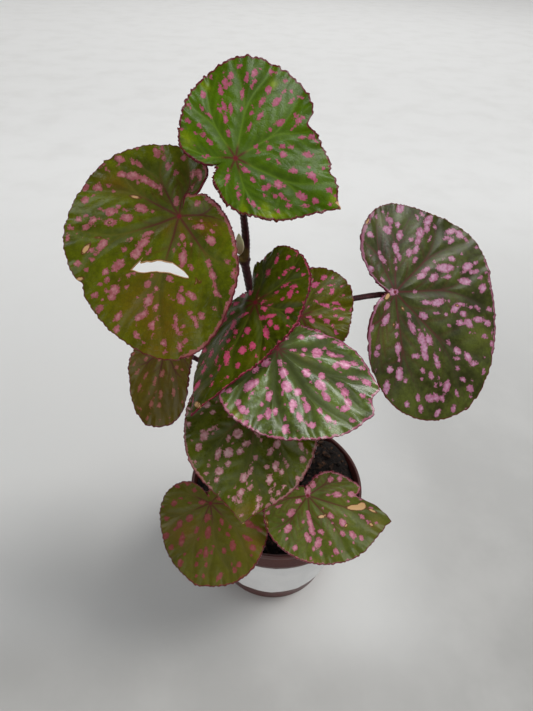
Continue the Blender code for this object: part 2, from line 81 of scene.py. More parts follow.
# Cane and stalks, as in the part. CANE: places and radii. NODE_FORMS: girth as a multiple of the cane's,
# half length, and rise over the node's middle, for the swelling and for the ridge round it.
CANE = (
    ((0.000, 0.007, 0.060), 0.0034),
    ((-0.001, 0.007, 0.085), 0.0033),
    ((-0.005, 0.008, 0.125), 0.0030),
    ((-0.010, 0.008, 0.165), 0.0028),
    ((-0.015, 0.007, 0.200), 0.0026),
    ((-0.0208, 0.006, 0.2323), 0.0024),
    ((-0.0252, 0.006, 0.2547), 0.0023),
)
CANE_VOXEL = 0.00045
CANE_UNEVENNESS = 0.00008
NODE_HEIGHTS = (0.100, 0.122, 0.146, 0.168, 0.190, 0.210, 0.230, 0.2547)
NODE_FORMS = ((1.33, 0.0032, 0), (1.5, 0.0007, 0.0012))
ROUTE_STEPS = 8
STALK_EASING = 10
STALK_STRAIGHT = 0.005
STALK_END_GAP = 0.0002
STALK_RADIUS = 0.0016
STALK_GIRTHS = {"leaf_top": 1.22, "leaf_right": 1.1}
STALKS = {
    "leaf_top": (
        (-0.0252, 0.006, 0.2547), (-0.0245, 0.004, 0.2677), (-0.0256, 0.000, 0.2821),
        (-0.027, -0.008, 0.300)),
    "leaf_left": ((-0.0252, 0.006, 0.2547), (-0.033, -0.002, 0.262), (-0.043, -0.015, 0.276)),
    "leaf_centre": ((-0.0195, 0.006, 0.226), (-0.021, -0.004, 0.232), (-0.0195, -0.016, 0.240)),
    "leaf_small_right": ((-0.012, 0.008, 0.181), (-0.006, 0.010, 0.200), (0.002, 0.004, 0.218)),
    "leaf_front": ((-0.0105, 0.008, 0.168), (-0.0105, -0.006, 0.190), (-0.008, -0.021, 0.212)),
    "leaf_right": (
        (-0.0165, 0.007, 0.212), (0.001, 0.009, 0.2215), (0.017, 0.011, 0.2265), (0.034, 0.012, 0.231),
        (0.048, 0.012, 0.2345)),
    "leaf_lower_centre": ((-0.0075, 0.008, 0.146), (-0.012, -0.012, 0.162), (-0.0145, -0.032, 0.183)),
    "leaf_left_low": ((-0.0075, 0.008, 0.150), (-0.028, 0.010, 0.168), (-0.052, 0.006, 0.187)),
    "leaf_pot_left": ((-0.002, 0.007, 0.092), (-0.018, -0.008, 0.100), (-0.034, -0.030, 0.109)),
    "leaf_pot_right": ((-0.002, 0.007, 0.098), (0.004, -0.012, 0.110), (0.012, -0.032, 0.120)),
}

# Bud
BUD_BASE = (-0.0274, 0.0023, 0.2602)
BUD_TIP = (-0.0276, -0.0028, 0.2745)
BUD_RADIUS = 0.0024
BUD_FLATNESS = 0.72

# Blades, as in the part. Bearings are in degrees from the leaf's axis.
# at: where the stalk meets the blade
# face: which way the upper side faces, as two angles, round and up
# turn: the axis's turn from straight down
# reach: radii to the margin, at even bearings round from the axis
# tip: its bearing, length and breadth
# sinus: its radius, and half its breadth in degrees
# veins: bearings of the main veins
# quilt: depth and breadth of the furrows over the veins
# wave: height, count and phase of the waves round the margin
# cup, bend: rise towards the margin, and droop towards the tip
# fold: its bearing, and the slopes beside it
# lap: turn and lift of the lobe on top, and turn of the lobe below
# nicks: bearing, half breadth and depth
BLADE = 0.0009
LEAF_STEPS = 384
SEAT_RADIUS = 0.0025
SEAT_FADE = 0.010
FORK_SPREAD = 11
FORK_FROM = 0.38
FOLD_SOFTNESS = 0.003
RELIEF_RADIUS = 0.050
LOBE = (110, 178)
LAP_FROM, LAP_FULL = 0.006, 0.014
LIFT_FROM, LIFT_FULL = 0.002, 0.009
LEAVES = {
    "leaf_top": dict(
        at=(-0.028, -0.020, 0.316), face=(15, 42), turn=105,
        reach=(0.039, 0.0463, 0.0456, 0.0362, 0.028, 0.0224, 0.0125, 0.0144, 0.0198, 0.0264, 0.035, 0.0433),
        tip=(-43, 0.0085, 8), sinus=(0.007, 8), veins=(-136, -95, -42, 14, 57, 100, 158),
        quilt=(0.0009, 0.0024), cup=-0.002, bend=0.002, wave=(0.0012, 7, 0),
        nicks=((7, 4.5, 0.0045), (-24, 3.5, 0.002), (-172, 9, 0.003))),
    "leaf_left": dict(
        at=(-0.051, -0.030, 0.294), face=(-18, 45), turn=-12,
        reach=(0.057, 0.0605, 0.044, 0.0278, 0.0190, 0.0152, 0.0205, 0.030, 0.0396, 0.0496, 0.0545, 0.0535),
        tip=(-34, 0.0005, 7), sinus=(0.003, 12), veins=(-157, -122, -94, -50, 10, 62, 118),
        quilt=(0.0008, 0.0026), cup=-0.001, wave=(0.0010, 6, 40), lap=(3, 0.0028, 17),
        nicks=((172, 14, 0.008), (-32, 3, 0.002))),
    "leaf_centre": dict(
        at=(-0.018, -0.024, 0.249), face=(-25, 50), turn=42,
        reach=(0.026, 0.024, 0.0243, 0.0292, 0.0325, 0.0275, 0.013, 0.013, 0.022, 0.0335, 0.0455, 0.034),
        tip=(-50, 0.019, 10), sinus=(0.003, 12), veins=(-130, -90, -47, -6, 48, 104, 148),
        quilt=(0.0009, 0.0022), fold=(-47, 0, -0.8), wave=(0.0010, 6, 0),
        nicks=((168, 7, -0.007), (-166, 10, 0.004))),
    "leaf_small_right": dict(
        at=(0.006, -0.004, 0.229), face=(20, 45), turn=93,
        reach=(0.0315, 0.034, 0.028, 0.024, 0.020, 0.015, 0.013, 0.013, 0.018, 0.024, 0.027, 0.0275),
        tip=(-32, 0.001, 7), sinus=(0.004, 15), veins=(-120, -75, -32, 8, 50, 95, 140),
        quilt=(0.0010, 0.0022), wave=(0.0012, 8, 0)),
    "leaf_front": dict(
        at=(-0.006, -0.030, 0.226), face=(15, 58), turn=37,
        reach=(0.0545, 0.0495, 0.029, 0.018, 0.012, 0.009, 0.009, 0.017, 0.029, 0.040, 0.044, 0.0477),
        tip=(9, 0.0035, 7), sinus=(0.003, 15), veins=(-130, -92, -52, -14, 18, 46, 90),
        quilt=(0.0022, 0.0026), wave=(0.0010, 9, 0), nicks=((24, 5, -0.003), (16, 3, 0.002))),
    "leaf_right": dict(
        at=(0.057, 0.010, 0.238), face=(20, 42), turn=84,
        reach=(0.067, 0.0643, 0.0525, 0.050, 0.0345, 0.0105, 0.006, 0.0148, 0.0358, 0.0658, 0.079, 0.073),
        tip=(-57, 0.0015, 6), sinus=(0.003, 30), veins=(-122, -86, -46, 1, 39, 80, 108),
        quilt=(0.0009, 0.0030), cup=-0.003, wave=(0.0010, 7, 0), nicks=((1, 4, 0.001),)),
    "leaf_lower_centre": dict(
        at=(-0.015, -0.042, 0.198), face=(-8, 55), turn=-5,
        reach=(0.047, 0.047, 0.039, 0.032, 0.026, 0.021, 0.019, 0.020, 0.026, 0.034, 0.0393, 0.0453),
        tip=(7, 0.012, 11), sinus=(0.004, 15), veins=(-125, -78, -34, 7, 46, 88, 132),
        quilt=(0.0007, 0.0026), bend=0.002, wave=(0.0008, 7, 0)),
    "leaf_left_low": dict(
        at=(-0.069, -0.005, 0.204), face=(-25, 35), turn=-7,
        reach=(0.042, 0.0435, 0.0255, 0.019, 0.017, 0.016, 0.016, 0.016, 0.016, 0.018, 0.021, 0.029),
        tip=(10, 0.0018, 7), sinus=(0.004, 20), veins=(-120, -70, -28, 12, 50, 92, 135),
        quilt=(0.0007, 0.0024), wave=(0.0010, 6, 0)),
    "leaf_pot_left": dict(
        at=(-0.041, -0.045, 0.117), face=(-25, 58), turn=49,
        reach=(0.0468, 0.0414, 0.033, 0.022, 0.016, 0.009, 0.0095, 0.0238, 0.0313, 0.0345, 0.0395, 0.0453),
        tip=(-34, 0.002, 7), sinus=(0.003, 20), veins=(-138, -96, -50, -17, 21, 62, 110),
        quilt=(0.0007, 0.0028), cup=-0.002, wave=(0.0008, 5, 0)),
    "leaf_pot_right": dict(
        at=(0.017, -0.045, 0.129), face=(15, 62), turn=8,
        reach=(0.040, 0.0446, 0.0435, 0.0297, 0.020, 0.008, 0.007, 0.008, 0.015, 0.0275, 0.0325, 0.0358),
        tip=(56, 0.008, 9), sinus=(0.003, 24), veins=(-100, -56, -14, 25, 56, 104, 145),
        quilt=(0.0007, 0.0026), wave=(0.0008, 6, 0), nicks=((71, 7, 0.010),)),
}

# Torn hole in the leaf at the upper left: bearing, and where the tear starts and ends along it
TEAR = (
    (-17.5, 0.0304, 0.0306), (-15, 0.0262, 0.0298), (-10, 0.0236, 0.0290), (-5, 0.0227, 0.0278),
    (0, 0.0210, 0.0262), (5, 0.0203, 0.0250), (12, 0.0201, 0.0244), (20, 0.0203, 0.0245),
    (28, 0.0222, 0.0256), (34, 0.0243, 0.0268), (38, 0.0272, 0.0274),
)
TEAR_RING = 17
TEAR_FADE = 14
TEAR_SPIKE = 0.0045
TEAR_SPIKE_AT = -16.0
TEAR_SPIKE_HALF = 1.4

# Colours that all the leaves share
VEIN_RED = "#521418"
RIM_RED = "#5e1424"
STAR_RED = "#6a1622"
DEAD_EDGE = "#5a3414"
DEAD_TAN = "#c8a070"

# Finish of each leaf. Its marks were read in a part of the picture.
# red: how far the red of the veins reaches from the stalk, in millimetres
# dark_edge: breadth of the dark rim, in millimetres
# groove: how much painted shade darkens the furrows over the veins, and how much duller they are
# gloss: least roughness
# shine: strength of the sheen
# tooth: size of the teeth, as a multiple of TOOTH_HEIGHT
# pink: arcs of the margin with a pink border, each as two bearings and its breadth in millimetres
# view: left, top and enlargement of the part of the picture
# spots: across, down, length, breadth and lean; a spot with no lean points at the stalk
# yellow, scars: yellowed areas and dead tissue, given in the same way
FINISHES = {
    "leaf_top": dict(
        deep="#3a5205", green="#4c6a03", vein="#6c8a18", pale="#84960f", spot="#9e4a60", spot_light="#b66a84",
        red=9, dark_edge=0.8, groove=0.5, gloss=0.20, shine=0.12, tooth=1.5,
        pink=((-62, 20, 1.0), (20, 180, 0.7), (-180, -150, 0.7)),
        view=(170, 50, 8.711), spots=(
            (605, 138, 55, 45), (530, 222, 70, 60), (470, 205, 45, 25), (358, 240, 50, 35),
            (478, 292, 100, 45), (440, 345, 115, 40), (522, 290, 60, 30), (665, 243, 95, 45),
            (735, 200, 80, 55), (738, 272, 50, 40), (716, 318, 40, 30), (785, 155, 25, 25),
            (883, 190, 60, 50), (925, 195, 25, 18), (1003, 268, 50, 35, 0), (858, 348, 85, 55),
            (630, 388, 105, 35), (990, 360, 45, 30), (1053, 355, 35, 28), (930, 448, 110, 60),
            (1060, 447, 60, 35), (1135, 415, 55, 30, 0), (288, 388, 65, 50), (800, 450, 85, 50),
            (470, 492, 95, 45), (530, 515, 100, 38), (432, 515, 80, 28), (283, 510, 90, 25),
            (168, 487, 50, 38), (145, 420, 40, 25), (340, 565, 60, 25), (482, 600, 95, 42),
            (708, 553, 50, 30), (788, 572, 100, 48), (622, 520, 45, 18), (716, 492, 30, 20),
            (160, 615, 55, 35), (98, 688, 35, 22), (260, 665, 65, 42), (690, 672, 90, 32), (510, 727, 70, 38),
            (288, 740, 55, 38), (228, 728, 40, 20), (345, 797, 60, 38), (958, 633, 85, 60),
            (865, 697, 50, 32), (1055, 697, 30, 25), (1087, 665, 35, 30), (1100, 578, 55, 35),
            (1088, 545, 30, 25), (1125, 615, 75, 45), (1165, 582, 35, 20), (752, 833, 50, 35),
            (770, 890, 40, 32), (845, 803, 30, 25), (865, 855, 55, 50), (975, 835, 65, 45),
            (1055, 845, 55, 38), (985, 912, 70, 62), (1155, 760, 75, 30), (1235, 752, 65, 55),
            (1270, 790, 60, 25, -70), (1198, 912, 95, 50, -20), (942, 978, 65, 32, -70), (858, 952, 28, 22),
            (1210, 1018, 35, 30), (1075, 1050, 75, 60), (650, 1045, 75, 45), (683, 1060, 25, 20),
            (620, 1003, 30, 18), (1335, 1030, 35, 30), (505, 1115, 100, 38), (508, 1050, 25, 20),
            (580, 1195, 55, 25, 60), (720, 1130, 70, 42), (808, 1110, 48, 38), (825, 1205, 70, 50, -60),
            (860, 1185, 65, 45, 60), (940, 1168, 80, 75), (997, 1188, 30, 40), (1235, 1090, 95, 60),
            (1260, 1130, 60, 40, -80), (595, 1255, 60, 40), (602, 1300, 25, 22), (680, 1303, 40, 22),
            (725, 1340, 60, 40), (910, 1270, 50, 35), (968, 1265, 60, 38), (820, 1268, 40, 20),
            (1145, 1272, 110, 65), (1265, 1312, 65, 60), (1018, 1310, 55, 25), (1033, 1355, 60, 50),
            (1180, 1355, 70, 25, -10), (1390, 1222, 60, 50), (1438, 1270, 35, 30), (1390, 1340, 40, 35),
            (940, 1400, 45, 25), (778, 1377, 30, 25), (320, 925, 45, 35), (215, 833, 30, 22),
            (460, 885, 35, 20), (280, 925, 16, 14)),
        yellow=(
            (320, 325, 70, 60), (285, 300, 50, 40), (640, 1385, 130, 70), (830, 1385, 110, 80),
            (880, 1440, 260, 60, 0), (1440, 1300, 90, 90), (150, 780, 160, 90, -60), (900, 300, 90, 70)),
        scars=((1465, 1335, 30, 60, 70), (1483, 1375, 50, 30, 60), (1250, 640, 38, 30, 0))),
    "leaf_left": dict(
        deep="#3e4504", green="#606905", vein="#6c6414", pale="#6a520a", spot="#985257", spot_light="#b87c80",
        red=30, dark_edge=0.4, groove=0.5, gloss=0.15, shine=0.24,
        pink=((30, 180, 2.0), (-180, -160, 2.0)),
        view=(55, 135, 6.703), spots=(
            (433, 163, 80, 50, -20), (520, 178, 40, 30), (568, 198, 60, 35), (423, 208, 22, 20),
            (537, 88, 65, 22, 0), (680, 115, 75, 45), (720, 90, 40, 25), (728, 148, 50, 32),
            (757, 207, 55, 42), (785, 188, 15, 15), (808, 252, 40, 30), (862, 152, 45, 38),
            (925, 265, 60, 38), (918, 353, 48, 25), (970, 265, 80, 38, -80), (450, 265, 80, 45, 0),
            (520, 275, 110, 60, 0), (600, 300, 80, 50, -30), (655, 332, 80, 42, -30), (700, 350, 45, 35),
            (710, 392, 25, 25), (348, 233, 45, 22), (312, 205, 60, 20, 40), (557, 322, 22, 20),
            (355, 337, 45, 25, 0), (285, 353, 75, 48, 10), (308, 323, 25, 15), (205, 350, 55, 40, 50),
            (200, 435, 55, 52), (260, 402, 20, 18), (395, 380, 28, 18), (308, 498, 35, 22),
            (375, 513, 95, 52, 15), (420, 480, 40, 30), (475, 502, 42, 22), (578, 493, 90, 60, -20),
            (660, 515, 28, 18), (483, 555, 90, 55, 5), (368, 588, 85, 52), (255, 572, 70, 42, 30),
            (208, 540, 42, 25), (158, 565, 50, 38), (205, 618, 60, 38, 30), (240, 600, 30, 15),
            (298, 563, 30, 12, 0), (262, 607, 15, 15), (100, 620, 50, 35), (85, 690, 60, 32, 80),
            (145, 658, 12, 12), (190, 685, 12, 10), (318, 735, 110, 55, 50), (272, 795, 35, 32),
            (240, 770, 45, 30), (245, 833, 38, 35), (417, 790, 16, 15), (503, 702, 38, 28),
            (465, 765, 42, 38), (618, 665, 75, 38, 25), (590, 725, 120, 55, 40), (545, 795, 90, 65, 50),
            (630, 780, 50, 32), (422, 873, 110, 65, 40), (340, 915, 55, 48), (152, 862, 55, 48),
            (210, 902, 35, 35), (350, 972, 45, 38), (303, 1002, 32, 32), (492, 942, 40, 28),
            (532, 925, 35, 22), (645, 943, 30, 25), (430, 972, 18, 14), (480, 1018, 40, 30),
            (400, 1040, 85, 68), (380, 1085, 65, 55), (345, 1045, 38, 32), (265, 1075, 55, 46),
            (318, 1103, 18, 18), (298, 1165, 60, 42), (620, 1000, 62, 45), (680, 1032, 38, 35),
            (768, 965, 60, 42, -40), (628, 1108, 100, 58, 65), (675, 1155, 60, 30, 60), (553, 1090, 20, 20),
            (422, 1218, 78, 45), (560, 1225, 50, 50), (597, 1200, 70, 48, 45), (685, 1225, 35, 28),
            (645, 1280, 65, 48), (700, 1283, 18, 18), (808, 1232, 60, 35), (845, 1100, 85, 55, -55),
            (847, 1032, 42, 38), (915, 1078, 90, 52, -30), (780, 1095, 60, 20, -45), (905, 1195, 55, 32, -60),
            (940, 1250, 100, 38, -65), (985, 1210, 60, 46, -30), (860, 1282, 35, 28),
            (820, 1310, 90, 35, -55), (548, 1345, 60, 44, -50), (595, 1385, 30, 22), (660, 1342, 30, 14),
            (545, 1287, 22, 16), (728, 1393, 48, 45), (738, 1457, 38, 32), (835, 1418, 60, 42),
            (873, 1378, 48, 28), (415, 1300, 55, 40), (853, 685, 55, 40), (858, 825, 130, 52, 85),
            (828, 735, 22, 22), (872, 735, 18, 18), (912, 737, 25, 22), (795, 778, 28, 12),
            (912, 890, 48, 38), (965, 615, 90, 38, 0), (980, 575, 20, 20), (1052, 642, 32, 30),
            (1045, 705, 80, 60, -50), (1078, 603, 14, 14), (900, 560, 20, 14), (1030, 860, 60, 40, -55),
            (1057, 940, 75, 46, -70), (1072, 1005, 38, 36), (1085, 1060, 75, 40, -60), (1155, 850, 42, 38),
            (955, 458, 45, 38), (1040, 440, 80, 35, -15), (1110, 505, 100, 38, -55), (1170, 610, 70, 28, -70),
            (1195, 720, 70, 22, -80), (1200, 800, 60, 32, 90), (1195, 930, 90, 25, 80),
            (1185, 1040, 80, 30, 70), (1160, 1130, 70, 30, 60), (1075, 1165, 50, 22, -20)),
        yellow=(
            (620, 1150, 500, 420, 0), (730, 1300, 420, 260, 0), (700, 1440, 300, 120, 0),
            (820, 620, 160, 220, 90), (420, 330, 260, 130, -20), (640, 945, 240, 70, 0),
            (1000, 600, 120, 200, 90)),
        scars=(
            (205, 765, 75, 32, 55), (230, 740, 36, 18, 75), (538, 415, 60, 18, -10), (365, 588, 20, 14, 0),
            (960, 985, 46, 10, 30), (955, 975, 30, 8, -50), (290, 688, 30, 8, 0), (165, 965, 50, 24, 10))),
    "leaf_centre": dict(
        deep="#323803", green="#4b5404", vein="#66721a", pale="#5e560c", spot="#b84264", spot_light="#cc5c7c",
        red=12, dark_edge=0.5, groove=0.6, gloss=0.17, shine=0.15,
        pink=((-60, 125, 1.2), (125, 170, 0.5)),
        view=(180, 235, 7.317), spots=(
            (710, 175, 60, 28, 75), (790, 162, 45, 25, 60), (850, 155, 28, 14), (620, 165, 35, 18, 70),
            (643, 278, 60, 30, 70), (770, 275, 60, 28, 50), (825, 240, 35, 25), (862, 255, 30, 16),
            (900, 293, 28, 24), (565, 300, 30, 14, 80), (725, 315, 20, 14), (775, 365, 65, 22, 25),
            (835, 378, 50, 30, 10), (803, 430, 65, 42, 70), (855, 420, 28, 18), (705, 420, 45, 18, 40),
            (750, 467, 32, 22), (610, 488, 45, 20, 30), (660, 510, 30, 14, 20), (612, 538, 55, 38, 10),
            (800, 552, 60, 45, 20), (790, 603, 25, 20), (605, 605, 55, 38, -10), (655, 595, 85, 32, 15),
            (660, 642, 50, 42), (705, 675, 42, 38), (630, 710, 90, 45, -80), (790, 665, 25, 12),
            (495, 698, 58, 50), (408, 708, 40, 32), (390, 655, 80, 35, 65), (465, 585, 70, 18, 25),
            (460, 740, 25, 12), (402, 750, 18, 16), (356, 772, 35, 28, 60), (530, 812, 58, 52),
            (457, 843, 65, 60), (343, 900, 110, 48, 85), (425, 955, 45, 38), (315, 830, 22, 14),
            (382, 818, 16, 16), (228, 865, 55, 22, 65), (180, 845, 50, 25, 50), (170, 930, 40, 14, 60),
            (175, 985, 75, 22, 65), (265, 915, 60, 18, 75), (287, 975, 55, 20, 85), (230, 1030, 25, 18),
            (232, 1090, 50, 25, 85), (350, 1040, 35, 18, 20), (558, 885, 25, 18), (340, 720, 60, 18, 55),
            (300, 780, 40, 16, 55), (620, 830, 24, 18), (300, 1075, 26, 14), (185, 1190, 12, 8)),
        yellow=(
            (560, 890, 150, 70, 40), (880, 470, 60, 240, 90), (150, 1140, 90, 60), (640, 480, 200, 60, 20)),
        scars=((130, 1245, 60, 40, -40), (572, 470, 26, 8, 60))),
    "leaf_small_right": dict(
        deep="#403f04", green="#5c5a08", vein="#747a1c", pale="#6e5f0c", spot="#bc5478", spot_light="#d47098",
        red=12, dark_edge=0.5, groove=0.6, gloss=0.17, shine=0.12,
        pink=((-45, 30, 0.4), (60, 130, 1.0)),
        view=(180, 235, 7.317), spots=(
            (1052, 310, 45, 40, 45), (1118, 310, 30, 20), (990, 365, 65, 40, 30), (968, 325, 30, 25),
            (1025, 410, 60, 22, 40), (1105, 368, 45, 12, 0), (1112, 412, 60, 32, 70), (1190, 445, 35, 18),
            (1065, 515, 70, 32, -15), (1140, 500, 60, 28, -10), (1000, 490, 45, 18, -20),
            (1185, 540, 50, 24, -15), (1135, 540, 40, 18), (1030, 595, 30, 28), (1075, 632, 45, 38, -20),
            (968, 628, 45, 38), (945, 600, 40, 25), (1135, 590, 35, 22), (1180, 612, 35, 25),
            (1120, 665, 25, 20), (1138, 710, 50, 25, -60), (1185, 375, 25, 16), (1250, 548, 28, 18, 70),
            (935, 530, 30, 16)),
        yellow=((960, 590, 160, 60, 0),), scars=()),
    "leaf_front": dict(
        # The light grey-green is partly painted sheen on the crests, and the strong groove is painted shade
        # in the furrows
        deep="#384204", green="#667a2c", vein="#3a4408", pale="#8c8e30", spot="#ba6486", spot_light="#e49ebc",
        red=7, dark_edge=0.3, groove=0.95, gloss=0.20, shine=0.5,
        pink=((-180, 180, 1.4),),
        view=(180, 235, 7.317), spots=(
            (828, 842, 50, 22, 0), (885, 748, 55, 38, 15), (910, 838, 45, 25, 10), (897, 877, 42, 32),
            (1025, 742, 85, 38, -5), (960, 740, 22, 14), (1132, 785, 38, 24), (1180, 805, 50, 32, -30),
            (1003, 862, 80, 75), (1020, 922, 35, 18), (1110, 875, 90, 38, -25), (1175, 885, 60, 25, -15),
            (1060, 830, 30, 20), (1140, 955, 60, 50, 60), (1210, 950, 95, 65, -25), (1275, 940, 55, 35, -25),
            (1335, 975, 45, 32, -10), (1175, 1000, 22, 18), (630, 935, 75, 52, 40), (553, 985, 55, 48, 50),
            (625, 1028, 18, 16), (730, 937, 50, 38), (768, 942, 25, 28), (755, 1010, 75, 70, -75),
            (925, 1008, 75, 60, -40), (1037, 1032, 55, 50, -30), (1268, 1045, 80, 30, -8),
            (1365, 1080, 80, 45, -30), (510, 1100, 120, 65, 45), (555, 1080, 60, 45, 45),
            (312, 1135, 50, 40, 45), (360, 1135, 50, 38, 60), (638, 1120, 30, 24), (780, 1110, 95, 78, -60),
            (732, 1070, 25, 20), (957, 1075, 20, 20), (1028, 1098, 95, 65, -35), (1087, 1068, 16, 16),
            (1170, 1097, 60, 42, -20), (650, 1178, 85, 52, 80), (860, 1148, 65, 55, -50), (750, 1160, 28, 18),
            (1002, 1158, 22, 18), (1070, 1185, 85, 48, -50), (1208, 1152, 65, 60), (1337, 1175, 60, 32, -35),
            (525, 1160, 40, 22, 50), (508, 1195, 30, 16), (600, 1238, 32, 26), (425, 1230, 55, 45, 60),
            (455, 1275, 75, 55, -40), (490, 1290, 40, 40), (335, 1238, 40, 24), (770, 1240, 18, 18),
            (828, 1238, 70, 62), (820, 1288, 38, 38), (905, 1200, 40, 24, -60), (928, 1260, 85, 50, -75),
            (1022, 1287, 48, 38, -50), (1230, 1225, 75, 50, -60), (1205, 1270, 80, 48, 20),
            (1147, 1258, 16, 16), (587, 1333, 55, 42, 60), (643, 1310, 85, 50, 80), (697, 1293, 58, 42, 85),
            (767, 1342, 42, 26, 80), (875, 1335, 75, 42, -75), (1085, 1342, 70, 48, -50),
            (1135, 1370, 30, 24), (1260, 1358, 55, 32, -15), (770, 1418, 75, 52, 80), (797, 1435, 25, 16),
            (665, 1440, 30, 28), (920, 1372, 28, 24), (967, 1392, 60, 50, 0), (480, 1375, 60, 35, 20),
            (400, 1345, 30, 18), (372, 1320, 25, 14), (1390, 1215, 45, 24, 80), (862, 1440, 20, 20),
            (1100, 1405, 14, 14)),
        yellow=((420, 1330, 160, 70, -40), (900, 900, 200, 60, -40)), scars=()),
    "leaf_right": dict(
        deep="#2a2c06", green="#50581e", vein="#3d2018", pale="#5f6422", spot="#a0607c", spot_light="#c296b0",
        red=60, dark_edge=0.5, groove=0.5, gloss=0.28,
        pink=((100, 180, 3.2), (-180, -118, 3.4), (-30, 15, 1.7)),
        view=(350, 190, 6.533), spots=(
            (328, 118, 70, 50, 80), (440, 178, 45, 20, -50), (468, 155, 40, 22, -50), (258, 198, 60, 40, -40),
            (172, 175, 30, 22), (215, 145, 25, 14), (250, 152, 18, 12), (310, 227, 38, 38),
            (243, 262, 65, 45, -50), (265, 240, 25, 25), (325, 292, 70, 42), (195, 240, 12, 12),
            (132, 292, 55, 38, -30), (510, 200, 80, 50, 60), (503, 250, 65, 38, 80), (555, 245, 50, 20, -70),
            (522, 318, 38, 20), (455, 285, 85, 50, 80), (443, 330, 60, 38, 60), (402, 323, 35, 28, 0),
            (430, 388, 65, 38), (387, 410, 55, 42), (423, 462, 50, 28), (300, 385, 95, 40, -75),
            (318, 430, 65, 28, -75), (297, 460, 45, 22), (192, 410, 32, 25), (207, 448, 50, 30, -45),
            (225, 468, 35, 25), (132, 427, 14, 14), (300, 518, 28, 14), (253, 515, 20, 10),
            (212, 585, 40, 20), (660, 270, 75, 40, 10), (715, 290, 65, 45, -60), (630, 312, 45, 28, 30),
            (660, 330, 55, 38, 50), (760, 328, 42, 18, -70), (825, 375, 25, 22), (665, 448, 50, 40, -45),
            (610, 453, 20, 14), (495, 520, 70, 32, 25), (467, 562, 65, 42, 20), (548, 573, 65, 48, 40),
            (555, 472, 40, 20, -40), (620, 510, 120, 58, 0), (590, 510, 50, 40), (640, 568, 45, 35),
            (600, 570, 14, 14), (767, 500, 75, 55, 20), (820, 475, 38, 28), (740, 537, 38, 22),
            (793, 537, 35, 30), (825, 530, 40, 32), (705, 503, 18, 14), (750, 595, 90, 50, -15),
            (855, 572, 35, 28), (865, 640, 65, 48, 80), (890, 538, 25, 20), (915, 595, 65, 22, -75),
            (500, 735, 70, 32, -5), (575, 735, 90, 50, 15), (640, 725, 30, 14), (690, 770, 85, 48, 50),
            (720, 745, 34, 30), (748, 748, 25, 20), (790, 765, 32, 22), (835, 772, 50, 24, -50),
            (565, 805, 42, 22, 0), (627, 815, 28, 25), (740, 808, 48, 38), (720, 868, 55, 40, -10),
            (775, 870, 75, 48, -50), (840, 845, 80, 42, 0), (897, 868, 50, 42), (647, 885, 28, 22),
            (880, 955, 40, 32), (925, 1003, 45, 28, 80), (930, 930, 35, 14, 80), (812, 935, 20, 16),
            (782, 928, 18, 14), (640, 985, 22, 18), (650, 1003, 22, 18), (233, 850, 85, 40, 60),
            (387, 822, 42, 24, -60), (405, 897, 95, 42, -65), (453, 917, 30, 18), (484, 912, 18, 14),
            (308, 887, 40, 20), (305, 947, 38, 28), (183, 1027, 38, 28), (313, 1035, 80, 40, 85),
            (173, 1070, 45, 38), (322, 1108, 38, 24), (260, 1098, 16, 14), (470, 975, 90, 50, -80),
            (485, 1030, 90, 50, -85), (517, 980, 80, 42, -70), (492, 1085, 60, 44), (430, 1085, 58, 36, 10),
            (568, 1122, 110, 35, -75), (700, 1050, 55, 46), (698, 1100, 45, 25, 0), (770, 1090, 75, 40, -60),
            (810, 1135, 60, 34, 20), (703, 1163, 35, 32), (475, 1178, 38, 30), (262, 1175, 50, 42),
            (323, 1205, 95, 48, 85), (363, 1245, 38, 30), (470, 1232, 22, 20), (530, 1212, 55, 38),
            (580, 1225, 22, 18), (593, 1265, 30, 24), (558, 1275, 38, 18, 85), (632, 1285, 90, 45, 75),
            (738, 1238, 40, 34), (800, 1245, 22, 18), (785, 1298, 55, 48), (790, 1355, 25, 20),
            (875, 1188, 45, 28, 80), (520, 1360, 60, 56), (560, 1355, 62, 38), (603, 1360, 55, 30),
            (372, 1400, 45, 34), (675, 1428, 55, 36, 70), (573, 1455, 60, 36, 60), (760, 1430, 25, 20)),
        yellow=((200, 960, 220, 260, 90), (870, 950, 140, 90), (190, 200, 90, 70)),
        scars=(
            (245, 695, 44, 24, 60), (115, 205, 40, 14, 60), (560, 158, 60, 12, 0), (345, 775, 24, 12, -60),
            (285, 880, 16, 10), (700, 755, 22, 12))),
    "leaf_lower_centre": dict(
        deep="#383e02", green="#565f08", vein="#5e5c16", pale="#6e5a10", spot="#a06a6c", spot_light="#cca4a6",
        red=26, dark_edge=0.4, groove=0.4, gloss=0.21,
        pink=((-120, -15, 1.5), (20, 100, 1.6)),
        view=(170, 320, 7.467), spots=(
            (142, 780, 50, 35, 60), (325, 805, 60, 25, 30), (240, 830, 35, 25), (255, 865, 75, 58, 60),
            (290, 820, 40, 28, 30), (318, 850, 25, 20), (355, 818, 20, 16), (215, 945, 65, 48, 50),
            (437, 882, 60, 32, 75), (505, 848, 80, 75, 60), (570, 922, 75, 48, 20), (525, 982, 55, 52, 30),
            (360, 1000, 95, 50, 75), (437, 990, 88, 75, 60), (467, 925, 18, 18), (435, 1072, 60, 45, 45),
            (385, 937, 14, 14), (165, 900, 16, 16), (295, 1045, 18, 18), (290, 1085, 26, 22),
            (358, 1082, 18, 18), (190, 1060, 32, 22, -60), (270, 1145, 38, 32, 40), (367, 1130, 68, 60, 40),
            (348, 1192, 48, 40), (637, 1030, 48, 40, 45), (607, 1085, 30, 26), (600, 1130, 60, 40, 60),
            (550, 1178, 80, 60, 70), (285, 1215, 25, 14), (722, 1098, 38, 38), (750, 985, 75, 42, 75),
            (800, 930, 70, 55, 80), (843, 970, 14, 14), (825, 1003, 22, 14, 80), (790, 1090, 85, 52, 80),
            (833, 1138, 55, 38, 80), (855, 1050, 36, 24, -80), (875, 1083, 42, 26, -70),
